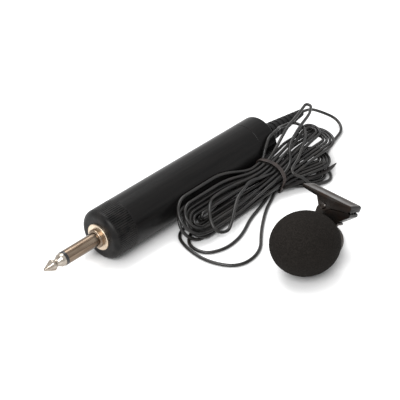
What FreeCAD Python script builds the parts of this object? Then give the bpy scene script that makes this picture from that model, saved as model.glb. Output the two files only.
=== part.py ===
# Tie-clip microphone: a battery barrel with a 6.35 mm jack plug, a thin cable tied in a hank,
# and a small electret microphone with a foam windscreen, held in the ring of a sprung clip.
# Millimetres. +Z is up, the table is z = 0, and the barrel lies along X with its plug at -X.
import FreeCAD, Part
import math
import os

Vec = FreeCAD.Vector
X_AXIS = Vec(1, 0, 0)
Y_AXIS = Vec(0, 1, 0)
Z_AXIS = Vec(0, 0, 1)

# Driving dimensions of the barrel, along its axis from the cap's front face
BARREL_R = 11.68
BARREL_LENGTH = 106.45
CAP_LENGTH = 12.3
REAR_SEAM = 95.5
TUBE_BORE_R = 10.3
SPIGOT_R = 10.25
SPIGOT_LENGTH = 6.5
BOOT_LENGTH = 32.5
PLUG_LENGTH = 31.2
PLUG_R = 3.175
STEM_R = 3.95

# Driving dimensions of the battery and of the cable
BATTERY_R = 7.25
BATTERY_LENGTH = 50.5
BATTERY_FRONT = 15.0
CABLE_R = 0.75

# Driving dimensions of the microphone head, along its own axis from the middle of the foam
FOAM_HALF_LENGTH = 18.0
FOAM_R = 14.1
FOAM_REAR = 13.5
HOUSING_R = 4.6
HOUSING_FRONT = -5.0
HOUSING_REAR = 22.0
RING_MIDDLE = 17.8
MIC_BOOT_END = 26.5
MIC_CENTRE = Vec(53.4, -70.6, 14.88)
MIC_TILT = 25.0

# Driving dimensions of the clip, along y from the microphone's axis and up from it
CLIP_FRONT = -8.0
CLIP_HANDLE_END = 18.3
CLIP_TOP = 19.3
CLIP_BASE = 9.5
CLIP_HALF_WIDTH = 4.1
CLIP_SHEET = 0.6
HINGE_Y = 5.4
HINGE_UP = 14.2

# The table frame's origin is under the middle of everything but the cable
ORIGIN = Vec((BARREL_LENGTH + BOOT_LENGTH - PLUG_LENGTH) / 2, (MIC_CENTRE.y - FOAM_R + BARREL_R) / 2, 0)


def in_barrel(shape):
    """Moves a shape drawn about the X axis to the barrel's axis."""
    return shape.translated(Vec(0, 0, BARREL_R) - ORIGIN)


def in_mic(shape):
    """Moves a shape drawn about the microphone's own axis to where the head lies."""
    moved = shape.copy()
    moved.rotate(Vec(0, 0, 0), Y_AXIS, MIC_TILT)
    return moved.translated(MIC_CENTRE - ORIGIN)


def save(shape, node):
    """Writes one node, after a check that every solid in it is closed and sound."""
    if not shape.isValid() or not shape.Solids:
        raise ValueError(node + " is not a sound solid")
    shape.exportStep("parts/" + node + ".step")
    print("%-18s %d solid, %9.2f mm3" % (node, len(shape.Solids), shape.Volume))


def turned(outline):
    """Revolves a closed outline of (x, radius) points about the X axis."""
    points = [Vec(x, 0, r) for x, r in outline]
    face = Part.Face(Part.makePolygon(points + points[:1]))
    return face.revolve(Vec(0, 0, 0), X_AXIS, 360)


def rod(radius, start, end):
    return Part.makeCylinder(radius, end - start, Vec(start, 0, 0), X_AXIS)


def rounded(shape, radius, test):
    """Fillets the edges that pass the test."""
    edges = [edge for edge in shape.Edges if test(edge)]
    return shape.makeFillet(radius, edges)


def circle_at(x, radius):
    """A test for the round edge of this radius that lies at this x."""
    def test(edge):
        if not isinstance(edge.Curve, Part.Circle):
            return False
        return abs(edge.Curve.Center.x - x) < 0.01 and abs(edge.Curve.Radius - radius) < 0.01
    return test


os.makedirs("parts", exist_ok=True)

# Barrel tube: smooth black tube, open at both ends
CHAMFER = 0.15
barrel_tube = turned([
    (CAP_LENGTH, TUBE_BORE_R), (CAP_LENGTH, BARREL_R - CHAMFER), (CAP_LENGTH + CHAMFER, BARREL_R),
    (REAR_SEAM - CHAMFER, BARREL_R), (REAR_SEAM, BARREL_R - CHAMFER), (REAR_SEAM, TUBE_BORE_R),
])
save(in_barrel(barrel_tube), "barrel_tube")

# Front cap: ribbed grip band behind a rounded front edge, and a spigot that screws into the tube
CAP_WALL = 3.0
CAP_BORE_R = 8.9
CAP_ROUND = 2.83
CAP_RIB_START = 1.0
CAP_RIB_COUNT = 72
CAP_RIB_DEPTH = 0.3
front_cap = turned([
    (0, STEM_R + 0.05), (0, BARREL_R), (CAP_LENGTH, BARREL_R), (CAP_LENGTH, SPIGOT_R),
    (CAP_LENGTH + SPIGOT_LENGTH, SPIGOT_R), (CAP_LENGTH + SPIGOT_LENGTH, CAP_BORE_R),
    (CAP_WALL, CAP_BORE_R), (CAP_WALL, STEM_R + 0.05),
])
front_cap = rounded(front_cap, CAP_ROUND, circle_at(0, BARREL_R))


def ribbed_ring(count, depth, outer_r, start, end):
    """A sleeve whose bore has one tooth per rib, which cuts the grooves between the ribs."""
    teeth = []
    for index in range(count):
        for part, radius in ((0.0, outer_r + 0.5), (0.5, outer_r - depth)):
            angle = 2 * math.pi * (index + part) / count
            teeth.append(Vec(start, radius * math.cos(angle), radius * math.sin(angle)))
    star = Part.Face(Part.makePolygon(teeth + teeth[:1])).extrude(Vec(end - start, 0, 0))
    return rod(outer_r + 1, start, end).cut(star)


front_cap = front_cap.cut(ribbed_ring(CAP_RIB_COUNT, CAP_RIB_DEPTH, BARREL_R, CAP_RIB_START, CAP_LENGTH - 0.4))
save(in_barrel(front_cap), "front_cap")

# Rear cap: smooth, pressed into the tube's other end, with a hole for the cable boot
REAR_WALL_START = 103.0
REAR_BORE_R = 9.0
BOOT_NECK_R = 3.8
rear_cap = turned([
    (REAR_SEAM - SPIGOT_LENGTH, REAR_BORE_R), (REAR_SEAM - SPIGOT_LENGTH, SPIGOT_R), (REAR_SEAM, SPIGOT_R),
    (REAR_SEAM, BARREL_R - CHAMFER), (REAR_SEAM + CHAMFER, BARREL_R), (BARREL_LENGTH, BARREL_R),
    (BARREL_LENGTH, BOOT_NECK_R), (REAR_WALL_START, BOOT_NECK_R), (REAR_WALL_START, REAR_BORE_R),
])
rear_cap = rounded(rear_cap, 0.9, circle_at(BARREL_LENGTH, BARREL_R))
save(in_barrel(rear_cap), "rear_cap")

# Cable boot: rubber cone whose grooves let it bend, held in the rear cap by its flange
BOOT_BASE_R = 5.4
BOOT_TIP_R = 1.9
BOOT_GROOVES = 9
BOOT_GROOVE_DEPTH = 0.45
BOOT_FLANGE_R = 4.6
BOOT_FLANGE = 1.4
CABLE_HOLE_R = CABLE_R + 0.02
BOOT_END = BARREL_LENGTH + BOOT_LENGTH


def grooved_cone(start, end, base_r, tip_r, grooves, depth, collar):
    """Outline points of a cone with square grooves, from its base to its tip."""
    points = [(start, base_r), (start + collar, base_r)]
    pitch = (end - start - collar * 2) / grooves
    for index in range(grooves):
        groove_start = start + collar + pitch * (index + 0.1)
        for x, sunk in ((groove_start, 0), (groove_start, 1), (groove_start + pitch * 0.4, 1), (groove_start + pitch * 0.4, 0)):
            radius = base_r + (tip_r - base_r) * (x - start - collar) / (end - start - collar)
            points.append((x, radius - sunk * depth * (radius / base_r)))
    points.append((end, tip_r))
    return points


cable_boot = turned(
    [(REAR_WALL_START - BOOT_FLANGE, CABLE_HOLE_R), (REAR_WALL_START - BOOT_FLANGE, BOOT_FLANGE_R),
     (REAR_WALL_START, BOOT_FLANGE_R), (REAR_WALL_START, BOOT_NECK_R), (BARREL_LENGTH, BOOT_NECK_R)]
    + grooved_cone(BARREL_LENGTH, BOOT_END, BOOT_BASE_R, BOOT_TIP_R, BOOT_GROOVES, BOOT_GROOVE_DEPTH, 1.5)
    + [(BOOT_END, CABLE_HOLE_R)])
save(in_barrel(cable_boot), "cable_boot")

# Crimp ring: brass ring squeezed on the cable inside the cap, so a pull can't reach the solder
CRIMP_START = 98.6
crimp_ring = turned([(CRIMP_START, CABLE_HOLE_R), (CRIMP_START, 2.0), (CRIMP_START + 0.3, 2.3),
                     (CRIMP_START + 2.6, 2.3), (CRIMP_START + 2.9, 2.0), (CRIMP_START + 2.9, CABLE_HOLE_R)])
save(in_barrel(crimp_ring), "crimp_ring")

# The cable's own end, from the circuit board to the tip of the boot
CABLE_INNER_START = 94.2
save(in_barrel(rod(CABLE_R, CABLE_INNER_START, BOOT_END)), "cable_in_boot")

# Plug sleeve: collar against the washer, and a threaded stem through the cap's wall
RING_FRONT = -21.0
SLEEVE_FRONT = -19.6
WASHER_FRONT = -0.9
COLLAR_FRONT = -2.7
COLLAR_R = 4.3
SLEEVE_BORE_R = 2.05
STEM_END = 9.0
plug_sleeve = turned([
    (SLEEVE_FRONT, SLEEVE_BORE_R), (SLEEVE_FRONT, PLUG_R), (COLLAR_FRONT, PLUG_R), (COLLAR_FRONT, COLLAR_R),
    (WASHER_FRONT, COLLAR_R), (WASHER_FRONT, STEM_R), (STEM_END, STEM_R), (STEM_END, SLEEVE_BORE_R),
])
plug_sleeve = rounded(plug_sleeve, 0.8, circle_at(COLLAR_FRONT, COLLAR_R))
save(in_barrel(plug_sleeve), "plug_sleeve")

# Washer: flat plated disc between the collar and the cap
WASHER_R = 6.2
plug_washer = turned([(WASHER_FRONT, STEM_R + 0.03), (WASHER_FRONT, WASHER_R - 0.2), (WASHER_FRONT + 0.2, WASHER_R),
                      (0, WASHER_R), (0, STEM_R + 0.03)])
save(in_barrel(plug_washer), "plug_washer")

# Insulator: black ring behind the tip, a long tube inside the sleeve, and a flange behind the stem
ROD_R = 1.15
INSULATOR_TUBE_R = 2.0
INSULATOR_END = 10.2
plug_insulator = turned([
    (RING_FRONT, ROD_R + 0.02), (RING_FRONT, PLUG_R), (SLEEVE_FRONT, PLUG_R),
    (SLEEVE_FRONT, INSULATOR_TUBE_R), (STEM_END, INSULATOR_TUBE_R), (STEM_END, STEM_R), (INSULATOR_END, STEM_R),
    (INSULATOR_END, ROD_R + 0.02),
])
save(in_barrel(plug_insulator), "plug_insulator")

# Tip: cone, waist and shoulder in one piece with the rod that carries the signal to the rear head
TIP_HEAD_END = 11.9
TIP_SHOULDER = -22.4
TIP_WAIST = -24.6
TIP_CONE = -26.5
plug_tip = turned([
    (-PLUG_LENGTH, 0), (-PLUG_LENGTH, 0.25), (-PLUG_LENGTH + 0.25, 0.6), (TIP_CONE - 0.35, 2.5), (TIP_CONE, 2.62),
    (TIP_CONE + 0.45, 2.45), (TIP_WAIST - 0.35, 1.75), (TIP_WAIST + 0.35, 1.75), (TIP_SHOULDER, 2.85),
    (RING_FRONT, 3.05), (RING_FRONT, ROD_R), (INSULATOR_END, ROD_R), (INSULATOR_END, 2.2),
    (TIP_HEAD_END, 2.2), (TIP_HEAD_END, 0),
])
save(in_barrel(plug_tip), "plug_tip")

# Hex nut and solder tag behind the cap's wall
NUT_START = CAP_WALL
NUT_THICKNESS = 2.2
NUT_ACROSS_FLATS = 11.0
hexagon = [Vec(NUT_START, NUT_ACROSS_FLATS / math.sqrt(3) * math.cos(math.radians(60 * i)),
               NUT_ACROSS_FLATS / math.sqrt(3) * math.sin(math.radians(60 * i))) for i in range(6)]
plug_nut = Part.Face(Part.makePolygon(hexagon + hexagon[:1])).extrude(Vec(NUT_THICKNESS, 0, 0))
plug_nut = plug_nut.cut(rod(STEM_R + 0.02, NUT_START - 1, NUT_START + NUT_THICKNESS + 1))
save(in_barrel(plug_nut), "plug_nut")

TAG_START = NUT_START + NUT_THICKNESS
TAG_THICKNESS = 0.4
solder_tag = rod(5.4, TAG_START, TAG_START + TAG_THICKNESS)
solder_tag = solder_tag.fuse(Part.makeBox(TAG_THICKNESS, 2.4, 7.6, Vec(TAG_START, -1.2, 0)))
solder_tag = solder_tag.cut(rod(STEM_R + 0.02, TAG_START - 1, TAG_START + 1))
solder_tag = solder_tag.cut(Part.makeCylinder(0.6, 3, Vec(TAG_START - 1, 0, 6.5), X_AXIS)).removeSplitter()
save(in_barrel(solder_tag), "solder_tag")

# Contact carrier: insulating disc that follows the battery, with a brass rivet between cell and plug
CARRIER_START = 12.6
CARRIER_THICKNESS = 1.6
CARRIER_R = CAP_BORE_R - 0.1
RIVET_SHANK_R = 1.0
contact_carrier = turned([
    (CARRIER_START, RIVET_SHANK_R + 0.02), (CARRIER_START, CARRIER_R), (CARRIER_START + CARRIER_THICKNESS, CARRIER_R),
    (CARRIER_START + CARRIER_THICKNESS, RIVET_SHANK_R + 0.02),
])
save(in_barrel(contact_carrier), "contact_carrier")
contact_rivet = turned([
    (CARRIER_START - 0.6, 0), (CARRIER_START - 0.6, 2.0), (CARRIER_START, 2.2), (CARRIER_START, RIVET_SHANK_R),
    (CARRIER_START + CARRIER_THICKNESS, RIVET_SHANK_R), (CARRIER_START + CARRIER_THICKNESS, 2.2),
    (BATTERY_FRONT - 0.1, 2.0), (BATTERY_FRONT - 0.1, 0),
])
save(in_barrel(contact_rivet), "contact_rivet")

# Battery: one AA cell, its raised end forward
BATTERY_END = BATTERY_FRONT + BATTERY_LENGTH
NUB_LENGTH = 1.2
battery = turned([
    (BATTERY_FRONT, 0), (BATTERY_FRONT, 2.75), (BATTERY_FRONT + NUB_LENGTH, 2.75), (BATTERY_FRONT + NUB_LENGTH, 6.6),
    (BATTERY_FRONT + NUB_LENGTH + 0.6, BATTERY_R), (BATTERY_END - 0.4, BATTERY_R), (BATTERY_END, 6.6), (BATTERY_END, 0),
])
save(in_barrel(battery), "battery")

# Battery sleeve: card liner that centres the cell in the tube
LINER_START = CAP_LENGTH + SPIGOT_LENGTH + 0.4
LINER_END = 66.4
battery_liner = turned([(LINER_START, BATTERY_R + 0.08), (LINER_START, TUBE_BORE_R - 0.1),
                        (LINER_END, TUBE_BORE_R - 0.1), (LINER_END, BATTERY_R + 0.08)])
save(in_barrel(battery_liner), "battery_liner")

# Battery spring: open coil between the cell and the rear contact
SPRING_R = 5.0
SPRING_WIRE_R = 0.4
SPRING_TURNS = 4
SPRING_START = BATTERY_END + 0.1 + SPRING_WIRE_R
SPRING_END = 72.0
spring_pitch = (SPRING_END - SPRING_WIRE_R - SPRING_START) / SPRING_TURNS


def biarc(start, start_way, end, end_way):
    """Two arcs in line with each other, from one point and direction to another."""
    span = end - start
    turn = 1 - start_way.dot(end_way)
    along = span.dot(start_way + end_way)
    if turn < 1e-6:
        reach = span.dot(span) / (2 * along)
    else:
        reach = (math.sqrt(along * along + 2 * turn * span.dot(span)) - along) / (2 * turn)
    start_knee = start + start_way * reach
    end_knee = end - end_way * reach
    middle = (start_knee + end_knee) * 0.5
    return [(start, start_knee, middle), (middle, end_knee, end)]


def arc_edge(start, knee, end):
    """The arc that leaves the start towards the knee and comes to the end from the knee, and its radius."""
    chord_middle = (start + end) * 0.5
    rise = (knee - chord_middle).Length
    leg = (knee - start).Length
    if rise < 1e-4 * leg:
        return Part.makeLine(start, end), 1e6
    cosine = math.sqrt(1 - (rise / leg) ** 2)
    radius = leg * leg * cosine / rise
    top = chord_middle + (knee - chord_middle) * (radius * (1 - cosine) / rise)
    return Part.Arc(start, top, end).toShape(), radius


def coil(radius, wire_r, pitch, turns):
    """A round wire coiled about Z from z = 0, six pairs of arcs to the turn."""
    nodes = []
    for step in range(6 * turns + 1):
        angle = math.pi / 3 * step
        place = Vec(radius * math.cos(angle), radius * math.sin(angle), pitch * step / 6)
        way = Vec(-math.sin(angle), math.cos(angle), pitch / (2 * math.pi * radius))
        nodes.append((place, way.normalize()))
    edges = []
    for (start, start_way), (end, end_way) in zip(nodes, nodes[1:]):
        edges += [arc_edge(*arc)[0] for arc in biarc(start, start_way, end, end_way)]
    ring = Part.Wire(Part.makeCircle(wire_r, nodes[0][0], nodes[0][1]))
    return Part.Wire(edges).makePipeShell([ring], True, False)


battery_spring = coil(SPRING_R, SPRING_WIRE_R, spring_pitch, SPRING_TURNS)
battery_spring.rotate(Vec(0, 0, 0), Y_AXIS, 90)
save(in_barrel(battery_spring.translated(Vec(SPRING_START, 0, 0))), "battery_spring")

# Rear contact plate on an insulating bulkhead
CONTACT_THICKNESS = 0.5
BULKHEAD_THICKNESS = 1.6
rear_contact = turned([(SPRING_END, 1.0), (SPRING_END, 7.5), (SPRING_END + CONTACT_THICKNESS, 7.5),
                       (SPRING_END + CONTACT_THICKNESS, 1.0)])
save(in_barrel(rear_contact), "rear_contact")
BULKHEAD_START = SPRING_END + CONTACT_THICKNESS
bulkhead = turned([(BULKHEAD_START, 1.0), (BULKHEAD_START, TUBE_BORE_R - 0.05),
                   (BULKHEAD_START + BULKHEAD_THICKNESS, TUBE_BORE_R - 0.05), (BULKHEAD_START + BULKHEAD_THICKNESS, 1.0)])
save(in_barrel(bulkhead), "bulkhead")

# Circuit board along the tube, with its capacitor and resistor
BOARD_START = BULKHEAD_START + BULKHEAD_THICKNESS
BOARD_END = 92.5
BOARD_WIDTH = 14.0
BOARD_THICKNESS = 1.2
circuit_board = Part.makeBox(BOARD_END - BOARD_START, BOARD_WIDTH, BOARD_THICKNESS, Vec(BOARD_START, -BOARD_WIDTH / 2, -BOARD_THICKNESS))
for hole_x in (BOARD_START + 3, BOARD_END - 2.2):
    for hole_y in (-4.5, 4.5):
        circuit_board = circuit_board.cut(Part.makeCylinder(0.5, 3, Vec(hole_x, hole_y, -2), Z_AXIS))
save(in_barrel(circuit_board), "circuit_board")
CAPACITOR_R = 2.5
capacitor = turned([(BOARD_START + 2, 0), (BOARD_START + 2, CAPACITOR_R - 0.3), (BOARD_START + 2.4, CAPACITOR_R),
                    (BOARD_START + 3.2, CAPACITOR_R), (BOARD_START + 3.6, CAPACITOR_R - 0.25), (BOARD_START + 4, CAPACITOR_R),
                    (BOARD_START + 12.5, CAPACITOR_R), (BOARD_START + 12.5, 0)])
save(in_barrel(capacitor.translated(Vec(0, -3, CAPACITOR_R + 0.05))), "capacitor")
RESISTOR_R = 1.15
resistor = turned([(BOARD_START + 3, 0), (BOARD_START + 3, RESISTOR_R), (BOARD_START + 4.4, RESISTOR_R),
                   (BOARD_START + 4.8, RESISTOR_R * 0.8), (BOARD_START + 7.6, RESISTOR_R * 0.8), (BOARD_START + 8, RESISTOR_R),
                   (BOARD_START + 9.4, RESISTOR_R), (BOARD_START + 9.4, 0)])
save(in_barrel(resistor.translated(Vec(0, 3.2, RESISTOR_R + 0.05))), "resistor")

# Microphone housing: slim black tube with a groove that the clip's ring sits in
HOUSING_BORE_R = 3.9
GROOVE_R = 4.3
GROOVE_HALF = 2.6
HOUSING_WALL_START = 18.6
MIC_NECK_R = 1.6
mic_housing = turned([
    (HOUSING_FRONT, HOUSING_BORE_R), (HOUSING_FRONT, HOUSING_R), (RING_MIDDLE - GROOVE_HALF, HOUSING_R),
    (RING_MIDDLE - GROOVE_HALF, GROOVE_R), (RING_MIDDLE + GROOVE_HALF, GROOVE_R), (RING_MIDDLE + GROOVE_HALF, HOUSING_R),
    (HOUSING_REAR - 0.5, HOUSING_R), (HOUSING_REAR, HOUSING_R - 0.5), (HOUSING_REAR, MIC_NECK_R),
    (HOUSING_WALL_START, MIC_NECK_R), (HOUSING_WALL_START, HOUSING_BORE_R),
])
save(in_mic(mic_housing), "mic_housing")

# Grille: pressed cap with two rings of sound holes
GRILLE_THICKNESS = 0.8
mic_grille = turned([
    (HOUSING_FRONT - GRILLE_THICKNESS, 0), (HOUSING_FRONT - GRILLE_THICKNESS, HOUSING_R - 0.35),
    (HOUSING_FRONT - GRILLE_THICKNESS + 0.3, HOUSING_R - 0.05), (HOUSING_FRONT, HOUSING_R - 0.05),
    (HOUSING_FRONT, HOUSING_BORE_R - 0.03), (HOUSING_FRONT + 1.8, HOUSING_BORE_R - 0.03), (HOUSING_FRONT + 1.8, 3.4),
    (HOUSING_FRONT, 3.4), (HOUSING_FRONT, 0),
])
for ring_r, holes in ((0.0, 1), (1.3, 6), (2.6, 12)):
    for index in range(holes):
        angle = 2 * math.pi * index / holes
        spot = Vec(HOUSING_FRONT - 2, ring_r * math.cos(angle), ring_r * math.sin(angle))
        mic_grille = mic_grille.cut(Part.makeCylinder(0.35, 3, spot, X_AXIS))
save(in_mic(mic_grille), "mic_grille")

# Electret capsule in a rubber cup
CAPSULE_START = -2.9
CAPSULE_LENGTH = 5.0
CAPSULE_R = 3.0
capsule = turned([(CAPSULE_START, 0.6), (CAPSULE_START, CAPSULE_R - 0.15), (CAPSULE_START + 0.15, CAPSULE_R),
                  (CAPSULE_START + CAPSULE_LENGTH, CAPSULE_R), (CAPSULE_START + CAPSULE_LENGTH, 0),
                  (CAPSULE_START + 0.5, 0), (CAPSULE_START + 0.5, 0.6)])
save(in_mic(capsule), "capsule")
capsule_cup = turned([(CAPSULE_START, CAPSULE_R + 0.02), (CAPSULE_START, HOUSING_BORE_R - 0.02),
                      (CAPSULE_START + CAPSULE_LENGTH, HOUSING_BORE_R - 0.02),
                      (CAPSULE_START + CAPSULE_LENGTH, CAPSULE_R + 0.02)])
save(in_mic(capsule_cup), "capsule_cup")

# Rubber grommet where the cable leaves the housing
mic_boot = turned([
    (HOUSING_WALL_START - 1.2, CABLE_HOLE_R), (HOUSING_WALL_START - 1.2, 2.7), (HOUSING_WALL_START, 2.7),
    (HOUSING_WALL_START, MIC_NECK_R), (HOUSING_REAR, MIC_NECK_R), (HOUSING_REAR, 2.5), (HOUSING_REAR + 1.2, 2.5),
    (HOUSING_REAR + 1.5, 1.9), (HOUSING_REAR + 2.1, 1.9), (HOUSING_REAR + 2.3, 2.2), (HOUSING_REAR + 3.1, 2.1),
    (HOUSING_REAR + 3.4, 1.6), (MIC_BOOT_END, 1.5), (MIC_BOOT_END, CABLE_HOLE_R),
])
save(in_mic(mic_boot), "mic_boot")
save(in_mic(rod(CABLE_R, 4.0, MIC_BOOT_END)), "cable_in_mic")

# Windscreen: open-cell foam, egg-shaped, with a blind bore pushed over the housing
FOAM_BORE_R = HOUSING_R + 0.05
FOAM_BORE_END = HOUSING_FRONT - GRILLE_THICKNESS - 0.4
half_egg = Part.Ellipse(Vec(0, 0, 0), FOAM_HALF_LENGTH, FOAM_R).toShape(0, math.pi)
half_egg.rotate(Vec(0, 0, 0), X_AXIS, 90)
axis_line = Part.makeLine(Vec(-FOAM_HALF_LENGTH, 0, 0), Vec(FOAM_HALF_LENGTH, 0, 0))
egg = Part.Face(Part.Wire([half_egg, axis_line])).revolve(Vec(0, 0, 0), X_AXIS, 360)
egg = egg.common(rod(FOAM_R + 5, -FOAM_HALF_LENGTH - 1, FOAM_REAR))
windscreen = egg.cut(rod(FOAM_BORE_R, FOAM_BORE_END, FOAM_HALF_LENGTH + 1))
save(in_mic(windscreen), "windscreen")

# Ring holder: sprung strip bent round the housing, pinched to a neck, with a foot for the rivet
RING_HALF = 2.5
RING_IN_R = GROOVE_R + 0.05
RING_OUT_R = 6.7
FOOT_TOP = CLIP_BASE - 0.1
FOOT_THICKNESS = 0.9
RIVET_R = 1.2
ring_start = RING_MIDDLE - RING_HALF
ring_holder = rod(RING_OUT_R, ring_start, ring_start + 2 * RING_HALF)
ring_holder = ring_holder.fuse(Part.makeBox(2 * RING_HALF, 2.4, FOOT_TOP - 4, Vec(ring_start, -1.2, 4)))
ring_holder = ring_holder.fuse(Part.makeBox(2 * RING_HALF, 6.4, FOOT_THICKNESS, Vec(ring_start, -3.2, FOOT_TOP - FOOT_THICKNESS)))
ring_holder = ring_holder.cut(rod(RING_IN_R, ring_start - 1, ring_start + 2 * RING_HALF + 1))
ring_holder = ring_holder.cut(Part.makeBox(2 * RING_HALF + 2, 0.5, 3.6, Vec(ring_start - 1, -0.25, 4)))
ring_holder = ring_holder.cut(Part.makeCylinder(RIVET_R + 0.02, 2, Vec(RING_MIDDLE, 0, FOOT_TOP - FOOT_THICKNESS), Z_AXIS)).removeSplitter()
save(in_mic(ring_holder), "ring_holder")

# Rivet: the clip turns on it
PLATE_THICKNESS = 0.8
PLATE_TOP = CLIP_BASE + PLATE_THICKNESS
swivel_rivet = Part.makeCylinder(RIVET_R, PLATE_TOP + 0.1 - (FOOT_TOP - FOOT_THICKNESS),
                                 Vec(RING_MIDDLE, 0, FOOT_TOP - FOOT_THICKNESS), Z_AXIS)
rivet_head = Part.makeCylinder(2.0, 0.7, Vec(RING_MIDDLE, 0, PLATE_TOP + 0.1), Z_AXIS)
rivet_head = rivet_head.makeFillet(0.4, [edge for edge in rivet_head.Edges if edge.BoundBox.ZMin > PLATE_TOP + 0.7])
swivel_rivet = swivel_rivet.fuse(rivet_head).removeSplitter()
save(in_mic(swivel_rivet), "swivel_rivet")


def side_plate(outline, start, thickness):
    """A flat plate across X, from an outline of (y, z) points."""
    points = [Vec(start, y, z) for y, z in outline]
    return Part.Face(Part.makePolygon(points + points[:1])).extrude(Vec(thickness, 0, 0))


def channel(outer, inner, half_width):
    """A bent channel: the outer side outline across its whole width, less the inner one."""
    whole = side_plate(outer, RING_MIDDLE - half_width, 2 * half_width)
    hollow = side_plate(inner, RING_MIDDLE - half_width + CLIP_SHEET, 2 * (half_width - CLIP_SHEET))
    return whole.cut(hollow)


# Lower jaw: channel whose base rises to a toothed lip, with two ears for the hinge pin
JAW_HALF_WIDTH = CLIP_HALF_WIDTH - CLIP_SHEET - 0.1
JAW_REAR = 8.6
JAW_BEND = -2.6
LIP_LOW = 14.4
JAW_LINE = 16.3
EAR_TOP = HINGE_UP + 2.2
TEETH = 4
PIN_R = 0.9
jaw_outer = [
    (JAW_REAR, CLIP_BASE), (JAW_REAR, CLIP_BASE + 3.0), (HINGE_Y + 1.6, EAR_TOP), (HINGE_Y - 1.6, EAR_TOP),
    (1.5, JAW_LINE - 2.2), (CLIP_FRONT, JAW_LINE - 0.2), (CLIP_FRONT, LIP_LOW), (JAW_BEND, CLIP_BASE),
]
jaw_inner = [
    (JAW_REAR + 1, CLIP_BASE + PLATE_THICKNESS), (JAW_REAR + 1, 25), (CLIP_FRONT + 0.8, 25),
    (CLIP_FRONT + 0.8, LIP_LOW + PLATE_THICKNESS - 0.5), (JAW_BEND + 0.3, CLIP_BASE + PLATE_THICKNESS),
]
lower_jaw = channel(jaw_outer, jaw_inner, JAW_HALF_WIDTH)
lower_jaw = lower_jaw.cut(Part.makeCylinder(PIN_R + 0.03, 20, Vec(RING_MIDDLE - 10, HINGE_Y, HINGE_UP), X_AXIS))
lower_jaw = lower_jaw.cut(Part.makeCylinder(RIVET_R + 0.05, 4, Vec(RING_MIDDLE, 0, CLIP_BASE - 1), Z_AXIS))


def toothed(jaw, half_width, line, up):
    """Cuts V notches across a jaw's lip, so that its edge has teeth."""
    pitch = 2 * half_width / TEETH
    for index in range(TEETH + 1):
        middle = RING_MIDDLE - half_width + pitch * index
        notch = [Vec(middle - pitch / 2, CLIP_FRONT - 1, line), Vec(middle + pitch / 2, CLIP_FRONT - 1, line),
                 Vec(middle, CLIP_FRONT - 1, line - up * 0.8)]
        far = [point + Vec(0, 0, up * 2) for point in (notch[1], notch[0])]
        corners = [notch[0], notch[2], notch[1]] + far
        cutter = Part.Face(Part.makePolygon(corners + corners[:1])).extrude(Vec(0, 1.9, 0))
        jaw = jaw.cut(cutter)
    return jaw


lower_jaw = toothed(lower_jaw, JAW_HALF_WIDTH, JAW_LINE - 0.2, 1)
save(in_mic(lower_jaw), "lower_jaw")

# Upper lever: longer channel with a tapered thumb end and a toothed lip bent down at the front
LEVER_FLANGE_END = 1.5
lever_outer = [
    (CLIP_HANDLE_END, CLIP_TOP), (CLIP_HANDLE_END, CLIP_TOP - LEVER_FLANGE_END), (JAW_REAR + 1.4, CLIP_TOP - 2.2),
    (HINGE_Y + 1.9, HINGE_UP - 1.3), (HINGE_Y + 0.8, HINGE_UP - 1.9), (HINGE_Y - 1.2, HINGE_UP - 1.9),
    (1.5, JAW_LINE - 1.6), (CLIP_FRONT, JAW_LINE), (CLIP_FRONT, CLIP_TOP - 0.7), (CLIP_FRONT + 0.7, CLIP_TOP),
]
lever_inner = [
    (CLIP_HANDLE_END + 1, CLIP_TOP - CLIP_SHEET), (CLIP_HANDLE_END + 1, 5), (CLIP_FRONT + 0.8, 5),
    (CLIP_FRONT + 0.8, CLIP_TOP - CLIP_SHEET),
]
upper_lever = channel(lever_outer, lever_inner, CLIP_HALF_WIDTH)
upper_lever = upper_lever.cut(Part.makeCylinder(PIN_R + 0.03, 20, Vec(RING_MIDDLE - 10, HINGE_Y, HINGE_UP), X_AXIS))
upper_lever = toothed(upper_lever, CLIP_HALF_WIDTH, JAW_LINE, -1)
save(in_mic(upper_lever), "upper_lever")

# Hinge pin with a spread head at each end
PIN_HALF = CLIP_HALF_WIDTH + 0.1
hinge_pin = turned([
    (-PIN_HALF - 0.5, 0), (-PIN_HALF - 0.5, 0.9), (-PIN_HALF - 0.2, 1.4), (-PIN_HALF, 1.4), (-PIN_HALF, PIN_R),
    (PIN_HALF, PIN_R), (PIN_HALF, 1.4), (PIN_HALF + 0.2, 1.4), (PIN_HALF + 0.5, 0.9), (PIN_HALF + 0.5, 0),
])
save(in_mic(hinge_pin.translated(Vec(RING_MIDDLE, HINGE_Y, HINGE_UP))), "hinge_pin")

# Clip spring: torsion coil round the pin, whose leg rests on the lower jaw's base
COIL_R = 1.45
COIL_WIRE_R = 0.3
COIL_PITCH = 0.62
COIL_TURNS = 4
COIL_START = RING_MIDDLE - 1.1
LEG_ANGLE = math.radians(36)
LEG_LENGTH = 3.9


def on_coil(angle):
    """A point of the coil's circle, and the way the wire runs there: angle 0 is its lowest point."""
    place = Vec(0, HINGE_Y + COIL_R * math.sin(angle), HINGE_UP - COIL_R * math.cos(angle))
    return place, Vec(0, math.cos(angle), math.sin(angle))


clip_coil = coil(COIL_R, COIL_WIRE_R, COIL_PITCH, COIL_TURNS)
clip_coil.rotate(Vec(0, 0, 0), Y_AXIS, 90)
clip_coil.rotate(Vec(0, 0, 0), X_AXIS, -math.degrees(LEG_ANGLE))
clip_coil = clip_coil.translated(Vec(COIL_START, HINGE_Y, HINGE_UP))
leg_root, leg_way = on_coil(-LEG_ANGLE)
leg_root.x = COIL_START + COIL_PITCH * COIL_TURNS
jaw_leg = Part.makeCylinder(COIL_WIRE_R, LEG_LENGTH, leg_root, leg_way)
clip_spring = clip_coil.fuse(jaw_leg)
save(in_mic(clip_spring), "clip_spring")

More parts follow.
